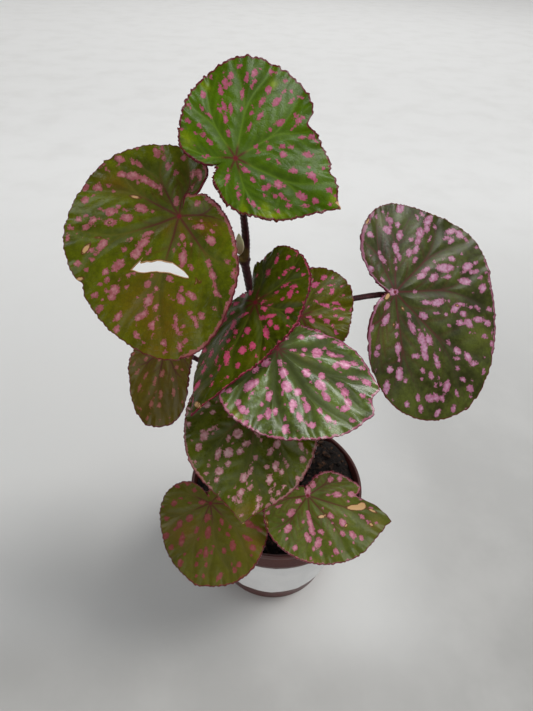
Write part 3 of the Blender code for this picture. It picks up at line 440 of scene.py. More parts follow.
            (743, 1190, 85, 50, 80), (980, 940, 80, 40, -70), (1022, 985, 35, 16, -60),
            (990, 1040, 58, 52, 20), (955, 1185, 50, 36, 80), (940, 1127, 14, 14), (778, 1240, 38, 18, 80),
            (750, 1280, 42, 34, -30), (810, 1290, 55, 38, 60), (850, 1245, 38, 30, 60),
            (597, 1255, 52, 38, 35), (530, 1288, 75, 50, 50), (490, 1247, 28, 22, 50), (437, 1318, 26, 20),
            (367, 1288, 22, 18), (478, 1335, 45, 42), (520, 1357, 50, 34, 10), (663, 1338, 55, 50),
            (668, 1277, 16, 16), (765, 1343, 40, 34), (655, 1400, 45, 42, 80), (688, 1385, 18, 16),
            (622, 1438, 28, 24), (527, 1458, 38, 26, 20), (530, 1422, 14, 14), (483, 1378, 18, 12),
            (612, 1198, 14, 14), (575, 1220, 14, 14)),
        yellow=((540, 1440, 260, 120, 30), (200, 1180, 160, 60, -50)),
        scars=((545, 1518, 40, 14, 20),)),
    "leaf_left_low": dict(
        deep="#524604", green="#665a08", vein="#665410", pale="#6e4c10", spot="#965448", spot_light="#aa7062",
        red=30, dark_edge=0.6, groove=0.4, gloss=0.26,
        pink=((-60, 60, 0.8),),
        view=(120, 340, 17.43), spots=(
            (230, 245, 75, 45, 60), (460, 325, 100, 60, 50), (255, 410, 110, 35, 65), (300, 555, 130, 50, 55),
            (445, 625, 130, 45, 55), (735, 585, 130, 88, 70), (610, 720, 150, 60, 75), (985, 475, 90, 70, 90),
            (1085, 515, 50, 40, -50), (1048, 600, 25, 22), (920, 690, 85, 70, 70), (340, 830, 130, 60, 70),
            (375, 895, 30, 20), (510, 920, 60, 25, 85), (625, 895, 30, 25), (600, 1000, 50, 25, 85),
            (712, 950, 160, 70, 90), (930, 915, 160, 60, 85), (1015, 845, 25, 20), (545, 1120, 150, 75, 90),
            (680, 1145, 85, 80), (590, 1255, 30, 30), (520, 1285, 35, 28), (335, 1195, 110, 45, -45),
            (475, 1370, 85, 38, 80), (700, 1400, 70, 42, -50), (870, 1370, 60, 36, -60)),
        yellow=(), scars=()),
    "leaf_pot_left": dict(
        deep="#53500a", green="#646410", vein="#6a5c20", pale="#78601e", spot="#883e3a", spot_light="#9a5250",
        red=16, dark_edge=0.5, groove=0.4, gloss=0.25,
        pink=((-180, -140, 1.5), (-40, 180, 1.2)),
        view=(150, 460, 6.272), spots=(
            (152, 270, 48, 38, 70), (250, 268, 22, 12), (190, 240, 25, 18), (103, 367, 38, 30),
            (185, 402, 60, 38, 75), (248, 365, 55, 45, 60), (365, 455, 85, 42, 80), (450, 385, 50, 26, -80),
            (503, 420, 32, 22, 80), (488, 465, 36, 26), (518, 535, 75, 42, -85), (610, 490, 70, 32, -30),
            (643, 550, 45, 42), (635, 595, 28, 20), (465, 570, 42, 32), (395, 542, 22, 20),
            (200, 500, 90, 38, 80), (155, 435, 26, 20), (133, 548, 40, 32), (190, 645, 60, 34, 80),
            (218, 590, 22, 18), (318, 575, 36, 24), (350, 580, 85, 32, 85), (298, 600, 36, 20),
            (292, 655, 38, 24), (350, 655, 38, 24), (557, 655, 40, 38), (530, 690, 38, 34),
            (513, 655, 20, 16), (437, 730, 65, 30, 60), (335, 728, 30, 24), (290, 728, 26, 18),
            (385, 582, 25, 25), (435, 437, 22, 18)),
        yellow=((650, 520, 130, 160, 90), (230, 450, 160, 300, 90)), scars=()),
    "leaf_pot_right": dict(
        deep="#444f16", green="#626a22", vein="#545422", pale="#70692a", spot="#a65e70", spot_light="#c68896",
        red=40, dark_edge=0.5, groove=0.4, gloss=0.25, shine=0.14,
        pink=((70, 180, 1.9), (-120, 20, 1.1)),
        view=(150, 460, 6.272), spots=(
            (1132, 122, 42, 36), (1190, 118, 38, 36), (1120, 218, 28, 16, 0), (1172, 218, 58, 38, 0),
            (1262, 215, 50, 40, -20), (1212, 190, 22, 14), (1215, 232, 16, 14), (1240, 262, 24, 20),
            (1303, 210, 20, 14), (1318, 248, 26, 20), (885, 332, 65, 42, 55), (865, 430, 62, 50, 50),
            (812, 445, 30, 14, 80), (833, 375, 16, 14), (857, 495, 22, 16), (910, 550, 42, 36),
            (993, 345, 70, 30, -78), (1003, 390, 80, 34, -78), (1016, 440, 70, 38, -75), (962, 387, 24, 20),
            (990, 487, 75, 38, -65), (1073, 452, 42, 34, -20), (1055, 520, 75, 42, 75), (1028, 558, 38, 26),
            (1075, 582, 32, 22), (1007, 620, 18, 14), (975, 643, 26, 14), (1083, 303, 20, 16),
            (1132, 350, 55, 32, -40), (1210, 395, 60, 42, -55), (1207, 463, 38, 34), (1272, 470, 60, 40, -45),
            (1275, 518, 20, 18), (1327, 490, 42, 26, -70), (1130, 520, 28, 20), (1167, 573, 50, 34, -70),
            (1207, 580, 22, 18), (1145, 605, 14, 14), (1155, 437, 18, 14), (1330, 357, 42, 24, -40),
            (1375, 395, 45, 26, -50), (1422, 395, 20, 18, 80), (1145, 397, 14, 14), (1225, 350, 16, 14)),
        yellow=((1420, 400, 120, 140, 60), (1000, 640, 200, 40, 0)),
        scars=(
            (1290, 298, 110, 34, 0), (1325, 290, 60, 46, 40), (1395, 318, 50, 14, -25),
            (1075, 355, 46, 20, 5), (1100, 348, 30, 12, 30), (1230, 412, 26, 14, 60),
            (1387, 405, 28, 18, -40), (735, 390, 50, 8, -80))),
}

# Veins between the main ones, as parts of the way to the margin
SIDE_VEINS = 5
SIDE_START = 0.14
SIDE_PITCH = 0.16
SIDE_RUN = 0.22
SIDE_BOW = 0.8
MAIN_VEIN_WIDTH = 0.00048
SIDE_VEIN_WIDTH = 0.0006
SIDE_VEIN_STRENGTH = 0.45
SIDE_VEIN_FROM, SIDE_VEIN_FULL = 0.004, 0.010
FURROW_BREADTH = 0.0026

# Fine form of a blade: pillows between the veins, a slow rise and fall, and the ruffled, toothed margin
RING_PITCH = 0.0015
TIP_SHIFT = 15
PILLOW_HEIGHT = 0.00022
PILLOW_BREADTH = 0.0018
RISE_HEIGHT = 0.0003
RISE_WAVES = 11
RISE_FROM, RISE_FULL = 0.3, 0.9
RUFFLE_HEIGHT = 0.0005
RUFFLE_WAVES = 38
RUFFLE_FROM = 0.82
TOOTH_HEIGHT = 0.00035
TOOTH_PITCH = 0.0024
WAVE_MIX = (0.55, 0.8, 1, 1.3, 1.7)

# Marks. Their depths are in millimetres: UNMARKED is the depth of a place far outside any mark.
UNMARKED = -3.0
DEAD_RIM = 0.4
FRINGE_FADE = 6

# Spots where other leaves hide a blade in the photo
STRAY_TRIES = 2500
STRAY_SIZES = (0.0012, 0.0018, 0.0026, 0.0032, 0.0040)
STRAY_STRETCH = (1.1, 2.0)
STRAY_PARTS = (0.03, 0.92)
STRAY_PITCH = 0.0052
STRAY_CLEARANCE = 0.0075

# Grained finishes. Tones, the noise that blends them and its limits, the noise of the relief and its depth,
# the roughness, and how much rougher the second tone is. A noise: scale, detail, roughness.
GRAINED = {
    "pot_plastic_brown": (("#4e2420", "#5e302a"), (130, 5), (0.45, 0.75), (900,), 0.00008, 0.36, 0.16),
    "label_paper_white": (("#d9dadb", "#efefee"), (70, 4), None, (700, 5), 0.00006, 0.55, 0),
    "potting_soil": (("#17100d", "#4a3020"), (330, 6, 0.7), (0.52, 0.70), (1200, 6, 0.8), 0.0008, 0.95, 0),
    "bark_crumbs": (("#1a120d", "#543824"), (260, 3), (0.45, 0.66), (1600, 5, 0.8), 0.0005, 0.9, 0),
}

# Lights. Suns: name, direction, strength, softness in degrees and tint.
# Panels: name, place, aim, size, power and tint.
SUNS = (
    ("window_light", (0.55, 0.05, 0.82), 1.6, 25, (1.0, 0.99, 0.97)),
    ("room_light", (-0.30, -1.0, 0.40), 0.95, 50, (1.0, 0.99, 0.98)),
)
PANELS = (
    ("left_skylight", (-0.90, 0.10, 1.00), (0, 0, 0.15), 0.35, 1.1, (0.94, 0.97, 1.0)),
    ("right_skylight", (1.05, -0.55, 1.20), (0, 0, 0.15), 0.8, 2.2, (0.94, 0.97, 1.0)),
    ("top_skylight", (0.36, -0.03, 1.37), (0, 0, 0.15), 0.42, 2.6, (0.94, 0.97, 1.0)),
    ("far_window", (0.3, 3.0, 2.5), (0.2, 2.8, 0), 3.0, 27, (0.98, 0.99, 1.0)),
)
ROOM_TINT = (0.95, 0.97, 1.0, 1)
ROOM_STRENGTH = 0.10


def colour(code):
    """A linear colour from its hexadecimal code."""
    parts = [int(code[index:index + 2], 16) / 255 for index in (1, 3, 5)]
    return [part / 12.92 if part <= 0.04045 else ((part + 0.055) / 1.055) ** 2.4 for part in parts] + [1]


def deselect():
    bpy.ops.object.select_all(action="DESELECT")


def pick(piece):
    """Makes a piece the active one, and the only one selected."""
    deselect()
    bpy.context.view_layer.objects.active = piece
    piece.select_set(True)


def edit(piece):
    pick(piece)
    bpy.ops.object.mode_set(mode="EDIT")
    bpy.ops.mesh.select_mode(type="VERT")
    bpy.ops.mesh.select_all(action="SELECT")


def leave_edit():
    bpy.ops.object.mode_set(mode="OBJECT")


def close_solid():
    """Turns every face of the solid in edit mode outwards, and leaves edit mode."""
    bpy.ops.mesh.select_all(action="SELECT")
    bpy.ops.mesh.normals_make_consistent(inside=False)
    leave_edit()


def named(name):
    piece = bpy.context.object
    piece.name = name
    piece.data.name = name
    return piece


def settled(name):
    """Applies the new piece's place, turn and scale to its points, and names it."""
    bpy.ops.object.transform_apply(location=True, rotation=True, scale=True)
    return named(name)


def points_of(piece):
    points = np.empty(3 * len(piece.data.vertices))
    piece.data.vertices.foreach_get("co", points)
    return points.reshape(-1, 3)


def move_points(piece, points):
    piece.data.vertices.foreach_set("co", points.ravel())
    piece.data.update()


def apply_modifier(piece, kind, **settings):
    pick(piece)
    modifier = piece.modifiers.new(kind.title(), kind)
    for key, value in settings.items():
        setattr(modifier, key, value)
    bpy.ops.object.modifier_apply(modifier=modifier.name)


def shade(piece, angle):
    pick(piece)
    bpy.ops.object.shade_smooth_by_angle(angle=math.radians(angle))


def join(pieces, name):
    deselect()
    for piece in pieces:
        piece.select_set(True)
    bpy.context.view_layer.objects.active = pieces[0]
    bpy.ops.object.join()
    return named(name)


def dress(piece, slot, node, *finishes):
    """Gives a finished piece its materials, and says what it rides on and stands for; its slot is not used.
    """
    piece.data.materials.clear()
    for finish in finishes:
        piece.data.materials.append(finish)
    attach(piece, "root")
    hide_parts(node)


def put(tree, kind, inputs=(), **settings):
    """Adds a node. inputs: pairs of a socket and its value, or the output that feeds it."""
    made = tree.nodes.new("ShaderNode" + kind)
    for key, value in settings.items():
        setattr(made, key, value)
    for socket, value in inputs:
        if isinstance(value, bpy.types.NodeSocket):
            tree.links.new(value, made.inputs[socket])
        else:
            made.inputs[socket].default_value = value
    return made


def calc(tree, operation, first, second, clamp=False):
    return put(tree, "Math", ((0, first), (1, second)), operation=operation, use_clamp=clamp).outputs[0]


def mixed(tree, factor, first, second):
    """The first colour where the factor is 0 and the second where it is 1. A colour may be a code."""
    first, second = (colour(tone) if isinstance(tone, str) else tone for tone in (first, second))
    return put(tree, "Mix", ((0, factor), (6, first), (7, second)), data_type="RGBA").outputs[2]


def stepped(tree, value, start, end):
    """0 at start, 1 at end and smooth between them."""
    made = put(
        tree, "MapRange", (("Value", value), ("From Min", start), ("From Max", end)),
        interpolation_type="SMOOTHSTEP")
    return made.outputs["Result"]


def object_place(tree):
    return put(tree, "TexCoord").outputs["Object"]


def grain(tree, scale, detail=3, roughness=0.6):
    """Even noise over the piece, as features per metre."""
    made = put(tree, "TexNoise", (
        ("Vector", object_place(tree)), ("Scale", scale), ("Detail", detail), ("Roughness", roughness)))
    return made.outputs["Fac"]


def attribute(tree, name):
    return put(tree, "Attribute", attribute_name=name).outputs["Fac"]


def new_material(name, roughness=0.5):
    made = bpy.data.materials.new(name)
    made.use_nodes = True
    shader = made.node_tree.nodes["Principled BSDF"]
    shader.inputs["Roughness"].default_value = roughness
    return made, made.node_tree, shader


def feed(tree, shader, tone, height, distance):
    """Leads a colour and a relief to the shader."""
    tree.links.new(tone, shader.inputs["Base Color"])
    bump = put(tree, "Bump", (("Height", height), ("Distance", distance), ("Strength", 1)))
    tree.links.new(bump.outputs[0], shader.inputs["Normal"])


def grained_material(name):
    """Two tones blended by noise, with a fine relief."""
    tones, blend, limits, fine, depth, roughness, rougher = GRAINED[name]
    made, tree, shader = new_material(name, roughness)
    part = grain(tree, *blend)
    if limits:
        part = stepped(tree, part, *limits)
    if rougher:
        uneven = calc(tree, "ADD", roughness, calc(tree, "MULTIPLY", part, rougher))
        tree.links.new(uneven, shader.inputs["Roughness"])
    feed(tree, shader, mixed(tree, part, *tones), grain(tree, *fine), depth)
    return made


def spotted_blade_group():
    """Colour, roughness and relief of a spotted blade. Distances are in millimetres."""
    group = bpy.data.node_groups.new("spotted_blade", "ShaderNodeTree")
    for way, kind, names in (
            ("INPUT", "Color", ("Deep", "Green", "Vein", "Pale", "Spot", "Spot Light")),
            ("INPUT", "Float", ("Red Reach", "Dark Edge", "Groove", "Gloss")),
            ("OUTPUT", "Color", ("Color",)),
            ("OUTPUT", "Float", ("Roughness", "Height"))):
        for name in names:
            group.interface.new_socket(name, in_out=way, socket_type="NodeSocket" + kind)
    given = group.nodes.new("NodeGroupInput").outputs
    result = group.nodes.new("NodeGroupOutput").inputs
    add, subtract, times = (partial(calc, group, kind) for kind in ("ADD", "SUBTRACT", "MULTIPLY"))
    mix, step = partial(mixed, group), partial(stepped, group)
    spot, vein, furrow, margin, fringe, heart, pale, scar = (
        attribute(group, name)
        for name in ("spot", "vein", "furrow", "margin", "fringe", "heart", "pale", "scar"))
    broad, mottle, lumps, fine = (grain(group, scale) for scale in (55, 420, 750, 1500))
    cells = put(
        group, "TexVoronoi", (("Vector", object_place(group)), ("Scale", 480)), feature="DISTANCE_TO_EDGE")
    mesh_veins = step(cells.outputs["Distance"], 0.0, 0.16)

    def roughened(depth, *swings):
        """A mark's depth, made uneven by noises. swings: each noise, its middle and its strength."""
        for value, middle, strength in swings:
            depth = add(depth, times(subtract(value, middle), strength))
        return depth

    # The green ground: two greens, yellowed areas, the net of fine veins, and painted shade in the furrows
    blend = add(times(broad, 0.75), times(mottle, 0.35))
    body = mix(step(blend, 0.38, 0.72), given["Deep"], given["Green"])
    body = mix(times(pale, 0.85), body, given["Pale"])
    body = mix(times(subtract(1, mesh_veins), 0.25), body, given["Deep"])
    # Painted shade: the furrows over the main veins darkened towards the deep green
    furrow_shade = times(furrow, given["Groove"])
    body = mix(furrow_shade, body, given["Deep"])

    # The veins, red near the stalk
    near_heart = subtract(1, calc(group, "DIVIDE", heart, given["Red Reach"]), clamp=True)
    vein_colour = mix(step(near_heart, 0.0, 0.6), given["Vein"], VEIN_RED)
    vein_strength = add(0.4, times(step(near_heart, 0.0, 0.5), 0.45))
    body = mix(times(vein, vein_strength), body, vein_colour)

    # The pink border and the spots, lighter at their middles
    border = step(roughened(fringe, (mottle, 0.55, 3.6), (lumps, 0.5, 3)), -0.1, 0.3)
    body = mix(times(border, 0.8), body, given["Spot"])
    ragged = roughened(spot, (lumps, 0.5, 2.6), (fine, 0.5, 0.8))
    spotted = step(ragged, -0.12, 0.22)
    lit = times(step(ragged, 0.15, 1.1), step(mottle, 0.3, 0.65))
    body = mix(spotted, body, mix(lit, given["Spot"], given["Spot Light"]))

    # The dark rim, the red star over the stalk, and dead tissue with its dark edge
    rim = step(subtract(given["Dark Edge"], margin), -0.25, 0.1)
    body = mix(times(rim, 0.9), body, RIM_RED)
    body = mix(step(heart, 1.5, 0.5), body, STAR_RED)
    torn = roughened(scar, (fine, 0.5, 0.6))
    body = mix(step(torn, -0.45, -0.1), body, DEAD_EDGE)
    body = mix(step(torn, -0.1, 0.25), body, DEAD_TAN)

    roughness = add(add(given["Gloss"], times(mottle, 0.14)), times(spotted, 0.05))
    roughness = add(roughness, times(furrow_shade, 0.6))
    height = add(times(mesh_veins, 0.6), times(mottle, 0.3))
    for output, socket in ((body, "Color"), (roughness, "Roughness"), (height, "Height")):
        group.links.new(output, result[socket])
    return group


def blade_material(name, finish, group):
    made, tree, shader = new_material(name)
    marks = tree.nodes.new("ShaderNodeGroup")
    marks.node_tree = group
    for key in ("deep", "green", "vein", "pale", "spot", "spot_light"):
        marks.inputs[key.replace("_", " ").title()].default_value = colour(finish[key])
    for key, socket in (
            ("red", "Red Reach"), ("dark_edge", "Dark Edge"), ("groove", "Groove"), ("gloss", "Gloss")):
        marks.inputs[socket].default_value = finish[key]
    shader.inputs["Specular IOR Level"].default_value = finish.get("shine", 0.3)
    tree.links.new(marks.outputs["Roughness"], shader.inputs["Roughness"])
    feed(tree, shader, marks.outputs["Color"], marks.outputs["Height"], 0.00004)
    return made


def underside_material():
    made, tree, shader = new_material("blade_underside")
    tone = mixed(tree, grain(tree, 90), "#4a1e1c", "#6e3a2c")
    tone = mixed(tree, calc(tree, "MULTIPLY", attribute(tree, "vein"), 0.7), tone, "#8a4438")
    feed(tree, shader, tone, grain(tree, 600), 0.0002)
    return made


def angle_between(bearing, other):
    return (bearing - other + 180) % 360 - 180


def ease(value, start, end):
    part = np.clip((value - start) / (end - start), 0, 1)
    return part * part * (3 - 2 * part)


def bell(value, breadth):
    """1 at 0, and falling off over about the breadth to both sides."""
    return np.exp(-((value / breadth) ** 2))


def between(first, second, third, fourth, part):
    """The value part of the way from the second to the third, on a smooth curve through all four."""
    return 0.5 * (
        2 * second + (third - first) * part + (2 * first - 5 * second + 4 * third - fourth) * part**2
        + (3 * second - first - 3 * third + fourth) * part**3)


def leaf_axes(leaf):
    """The leaf's axis, the way across it and its upper side."""
    azimuth, elevation = (math.radians(angle) for angle in leaf["face"])
    flat = math.cos(elevation)
    normal = Vector((math.sin(azimuth) * flat, -math.cos(azimuth) * flat, math.sin(elevation)))
    down = (Vector((0, 0, -1)) + normal * normal.z).normalized()
    axis = Matrix.Rotation(math.radians(leaf["turn"]), 3, normal) @ down
    return axis, normal.cross(axis), normal


def margin_radius(leaf, bearing):
    """Distance from the stalk to the margin, by a smooth curve through the leaf's radii."""
    reach = np.array(leaf["reach"])
    place = bearing % 360 / (360 / len(reach))
    index = place.astype(int)
    near = (reach[(index + shift) % len(reach)] for shift in (-1, 0, 1, 2))
    radius = between(*near, place - index)
    tip_at, length, breadth = leaf["tip"]
    radius += length * np.exp(-np.abs(angle_between(bearing, tip_at)) / breadth)
    for nick_at, half, depth in leaf.get("nicks", ()):
        radius -= depth * bell(angle_between(bearing, nick_at), half)
    depth, half = leaf["sinus"]
    off = np.minimum(1, np.abs(angle_between(bearing, 180)) / half)
    return depth + (radius - depth) * np.sqrt(off * (2 - off))


def vein_distance(leaf, bearing, part, radius):
    """Distance to the nearest main vein. Each vein forks on its way to the margin."""
    spread = FORK_SPREAD * ease(part, FORK_FROM, 1)
    turns = [np.abs(np.abs(angle_between(bearing, vein)) - spread) for vein in leaf["veins"]]
    return radius * np.radians(np.minimum.reduce(turns))


def relief(leaf, bearing, part, radius):
    """Height of the blade over its own plane."""
    far = radius / RELIEF_RADIUS
    height = leaf.get("cup", 0) * far**2
    tip_at = np.radians(angle_between(bearing, leaf["tip"][0]))
    height -= leaf.get("bend", 0) * np.maximum(0, far * np.cos(tip_at)) ** 2
    fold_at, left_slope, right_slope = leaf.get("fold", (0, 0, 0))
    across = radius * np.sin(np.radians(bearing - fold_at))
    slope = np.where(across > 0, left_slope, right_slope)
    height += slope * (np.hypot(across, FOLD_SOFTNESS) - FOLD_SOFTNESS)
    wave, count, phase = leaf["wave"]
    height += wave * part**3 * np.sin(np.radians(count * bearing + phase))
    depth, breadth = leaf["quilt"]
    height -= depth * bell(vein_distance(leaf, bearing, part, radius), breadth) * (1 - part**6)
    return height * ease(radius, SEAT_RADIUS, SEAT_FADE)


def turned_bearing(leaf, bearing, radius):
    """Bearings where the leaf's two lobes lap over each other, and how far the upper one is lifted."""
    lap, lift, under = leaf.get("lap", (0, 0, 0))
    last_lobe = ease(bearing, *LOBE)
    turn = (lap * last_lobe - under * ease(-bearing, *LOBE)) * ease(radius, LAP_FROM, LAP_FULL)
    return bearing + turn, lift * last_lobe * ease(radius, LIFT_FROM, LIFT_FULL)


def flat_place(bearing, radius):
    return np.stack((radius * np.cos(np.radians(bearing)), radius * np.sin(np.radians(bearing))), axis=-1)


def side_vein_lines(leaf):
    """Lines of the side veins. Each leaves a main vein and curves out to the middle of the gap beside it."""
    veins = sorted(leaf["veins"])
    run = np.linspace(0, 1, 5)
    lines = []
    for vein, edge, following in zip([None] + veins, [-180] + veins, veins + [None]):
        middle = (edge + (180 if following is None else following)) / 2
        for source, way, shift in ((vein, 1, 0), (following, -1, 0.5)):
            if source is None:
                continue
            for number in range(SIDE_VEINS):
                parts = np.minimum(SIDE_START + (number + shift) * SIDE_PITCH + SIDE_RUN * run, 1)
                start = source + way * FORK_SPREAD * ease(parts[0], FORK_FROM, 1)
                bearing = start + (middle - start) * run ** SIDE_BOW
                lines.append(flat_place(bearing, parts * margin_radius(leaf, bearing)))
    return lines


def distance_to_lines(flat, lines):
    nearest = np.ones(len(flat))
    for line in lines:
        for start, end in zip(line, line[1:]):
            along = end - start
            part = np.clip((flat - start) @ along / max(along @ along, 1e-12), 0, 1)
            nearest = np.minimum(nearest, np.linalg.norm(flat - start - part[:, None] * along, axis=1))
    return nearest


def wobble(bearing, count, seed):
    """An uneven wave round the leaf, between about -1 and 1."""
    draw = random.Random(seed)
    total = np.zeros_like(bearing)
    for factor in WAVE_MIX:
        total += np.sin(np.radians(round(count * factor) * bearing + draw.uniform(0, 360)))
    return total / 3


def project(places):
    """Photo coordinates, across and down, of places in the world, and their depth."""
    away = places - np.array(CAMERA_AT)
    c, s = math.cos(CAMERA_PITCH), math.sin(CAMERA_PITCH)
    depth = away[..., 1] * c - away[..., 2] * s
    u = FOCAL_PIXELS * away[..., 0] / depth
    v = -FOCAL_PIXELS * (away[..., 1] * s + away[..., 2] * c) / depth
    c, s = math.cos(CAMERA_ROLL), math.sin(CAMERA_ROLL)
    return PICTURE[0] / 2 + c * u - s * v, PICTURE[1] / 2 + s * u + c * v, depth


def oval_depth(x, y, centre, length, breadth, lean):
    """How deep inside an oval each place lies: 1 at its centre, 0 at its edge and below 0 outside it."""
    x, y = x - centre[0], y - centre[1]
    along = x * math.cos(lean) + y * math.sin(lean)
    beside = -x * math.sin(lean) + y * math.cos(lean)
    return 1 - np.hypot(2 * along / length, 2 * beside / breadth)


def mark_depth(x, y, mark, heart):
    """How deep inside a mark each place lies. A mark with no lean points at the stalk."""
    across, down, length, breadth, *lean = mark
    lean = -math.radians(lean[0]) if lean else math.atan2(down - heart[1], across - heart[0])
    return oval_depth(x, y, (across, down), length, breadth, lean)


def stray_spots(name, leaf, seen):
    """Spots for the hidden part of a blade, evenly strewn, as flat places, lengths and breadths."""
    draw = random.Random(name)
    placed = []
    for _ in range(STRAY_TRIES):
        bearing = draw.uniform(-180, 180)
        part = math.sqrt(draw.uniform(*STRAY_PARTS))
        size = draw.choice(STRAY_SIZES)
        place = flat_place(bearing, part * float(margin_radius(leaf, np.array([bearing]))[0]))
        if any(np.hypot(*(place - other)) < STRAY_PITCH for other, _, _ in placed):
            continue
        if len(seen) and np.min(np.hypot(*(seen - place).T)) < STRAY_CLEARANCE:
            continue
        placed.append((place, size * draw.uniform(*STRAY_STRETCH), size))
    return placed


def fringe_width(finish, bearing):
    """Breadth of the pink border at each bearing, in millimetres."""
    width = np.full(len(bearing), UNMARKED)
    for start, end, breadth in finish["pink"]:
        inside = np.minimum(
            ease(bearing, start - FRINGE_FADE, start), 1 - ease(bearing, end, end + FRINGE_FADE))
        width = np.maximum(width, (breadth - UNMARKED) * inside + UNMARKED)
    return width


def blade_marks(name, leaf, finish, places, flat):
    """How deep each place lies in spots, how yellowed it is, and how deep it lies in dead tissue."""
    left, top, scale = finish["view"]
    x, y, _ = project(places)
    x, y = (x - left) * scale, (y - top) * scale
    heart_x, heart_y, depth = project(np.array(leaf["at"]))
    heart = ((heart_x - left) * scale, (heart_y - top) * scale)
    pixel = depth / FOCAL_PIXELS / scale / MM

    def deepest(marks):
        depths = np.full(len(places), UNMARKED)
        for mark in marks:
            depths = np.maximum(depths, mark_depth(x, y, mark, heart) * mark[3] / 2 * pixel)
        return depths

    spot = deepest(finish["spots"])
    seen = [flat[np.argmin((x - mark[0]) ** 2 + (y - mark[1]) ** 2)] for mark in finish["spots"]]
    for place, length, breadth in stray_spots(name, leaf, np.array(seen)):
        lean = math.atan2(place[1], place[0])
        stray = oval_depth(flat[:, 0], flat[:, 1], place, length, breadth, lean)
        spot = np.maximum(spot, stray * breadth / 2 / MM)
    pale = np.zeros(len(places))
    for mark in finish["yellow"]:
        pale = np.maximum(pale, bell(1 - mark_depth(x, y, mark, heart), 1))
    return spot, pale, deepest(finish["scars"])


def ringed_disc(name, rings):
    """A flat disc, one metre in radius, cut into rings of faces round its middle."""
    deselect()
    bpy.ops.mesh.primitive_circle_add(vertices=LEAF_STEPS, radius=1, fill_type="NGON")
    disc = named(name)
    edit(disc)
    for _ in range(rings - 1):
        bpy.ops.mesh.inset(thickness=1 / rings)
    bpy.ops.mesh.poke()
    leave_edit()
    return disc


def delete_faces(piece, lost):
    """Deletes the faces whose points are all lost."""
    for face in piece.data.polygons:
        face.select = all(lost[index] for index in face.vertices)
    for part in (*piece.data.edges, *piece.data.vertices):
        part.select = False
    pick(piece)
    bpy.ops.object.mode_set(mode="EDIT")
    bpy.ops.mesh.select_mode(type="FACE")
    bpy.ops.mesh.delete(type="ONLY_FACE")
    leave_edit()


def open_tear(blade, bearing, ring, margin):
    """Opens the torn hole between two rings of the blade, and draws the other rings to suit. Gives each
    point's radius, and its distance from the hole's edge."""
    at, start, end = (np.array(values) for values in zip(*TEAR))
    inside, outside = (np.interp(np.clip(bearing, at[0], at[-1]), at, edge) for edge in (start, end))
    inside -= TEAR_SPIKE * np.maximum(0, 1 - np.abs(bearing - TEAR_SPIKE_AT) / TEAR_SPIKE_HALF)
    off = np.abs(angle_between(bearing, (at[0] + at[-1]) / 2)) - (at[-1] - at[0]) / 2
    hold = 1 - ease(off, 0, TEAR_FADE)
    rings = ring.max()
    inside, outside = (
        edge * hold + (SEAT_RADIUS + (margin - SEAT_RADIUS) * plain / (rings - 1)) * (1 - hold)
        for edge, plain in ((inside, TEAR_RING - 1), (outside, TEAR_RING)))
    inner = SEAT_RADIUS + (inside - SEAT_RADIUS) * (ring - 1) / (TEAR_RING - 1)
    beyond = outside + (margin - outside) * (ring - TEAR_RING - 1) / (rings - TEAR_RING - 1)
    drawn = np.where(ring <= TEAR_RING, inner, beyond)
    drawn[ring == 0] = 0
    torn = (bearing >= at[0]) & (bearing <= at[-1])
    distance = np.where(torn, np.minimum(np.abs(drawn - inside), np.abs(drawn - outside)), 1)
    delete_faces(blade, torn & ((ring == TEAR_RING) | (ring == TEAR_RING + 1)))
    return drawn, distance


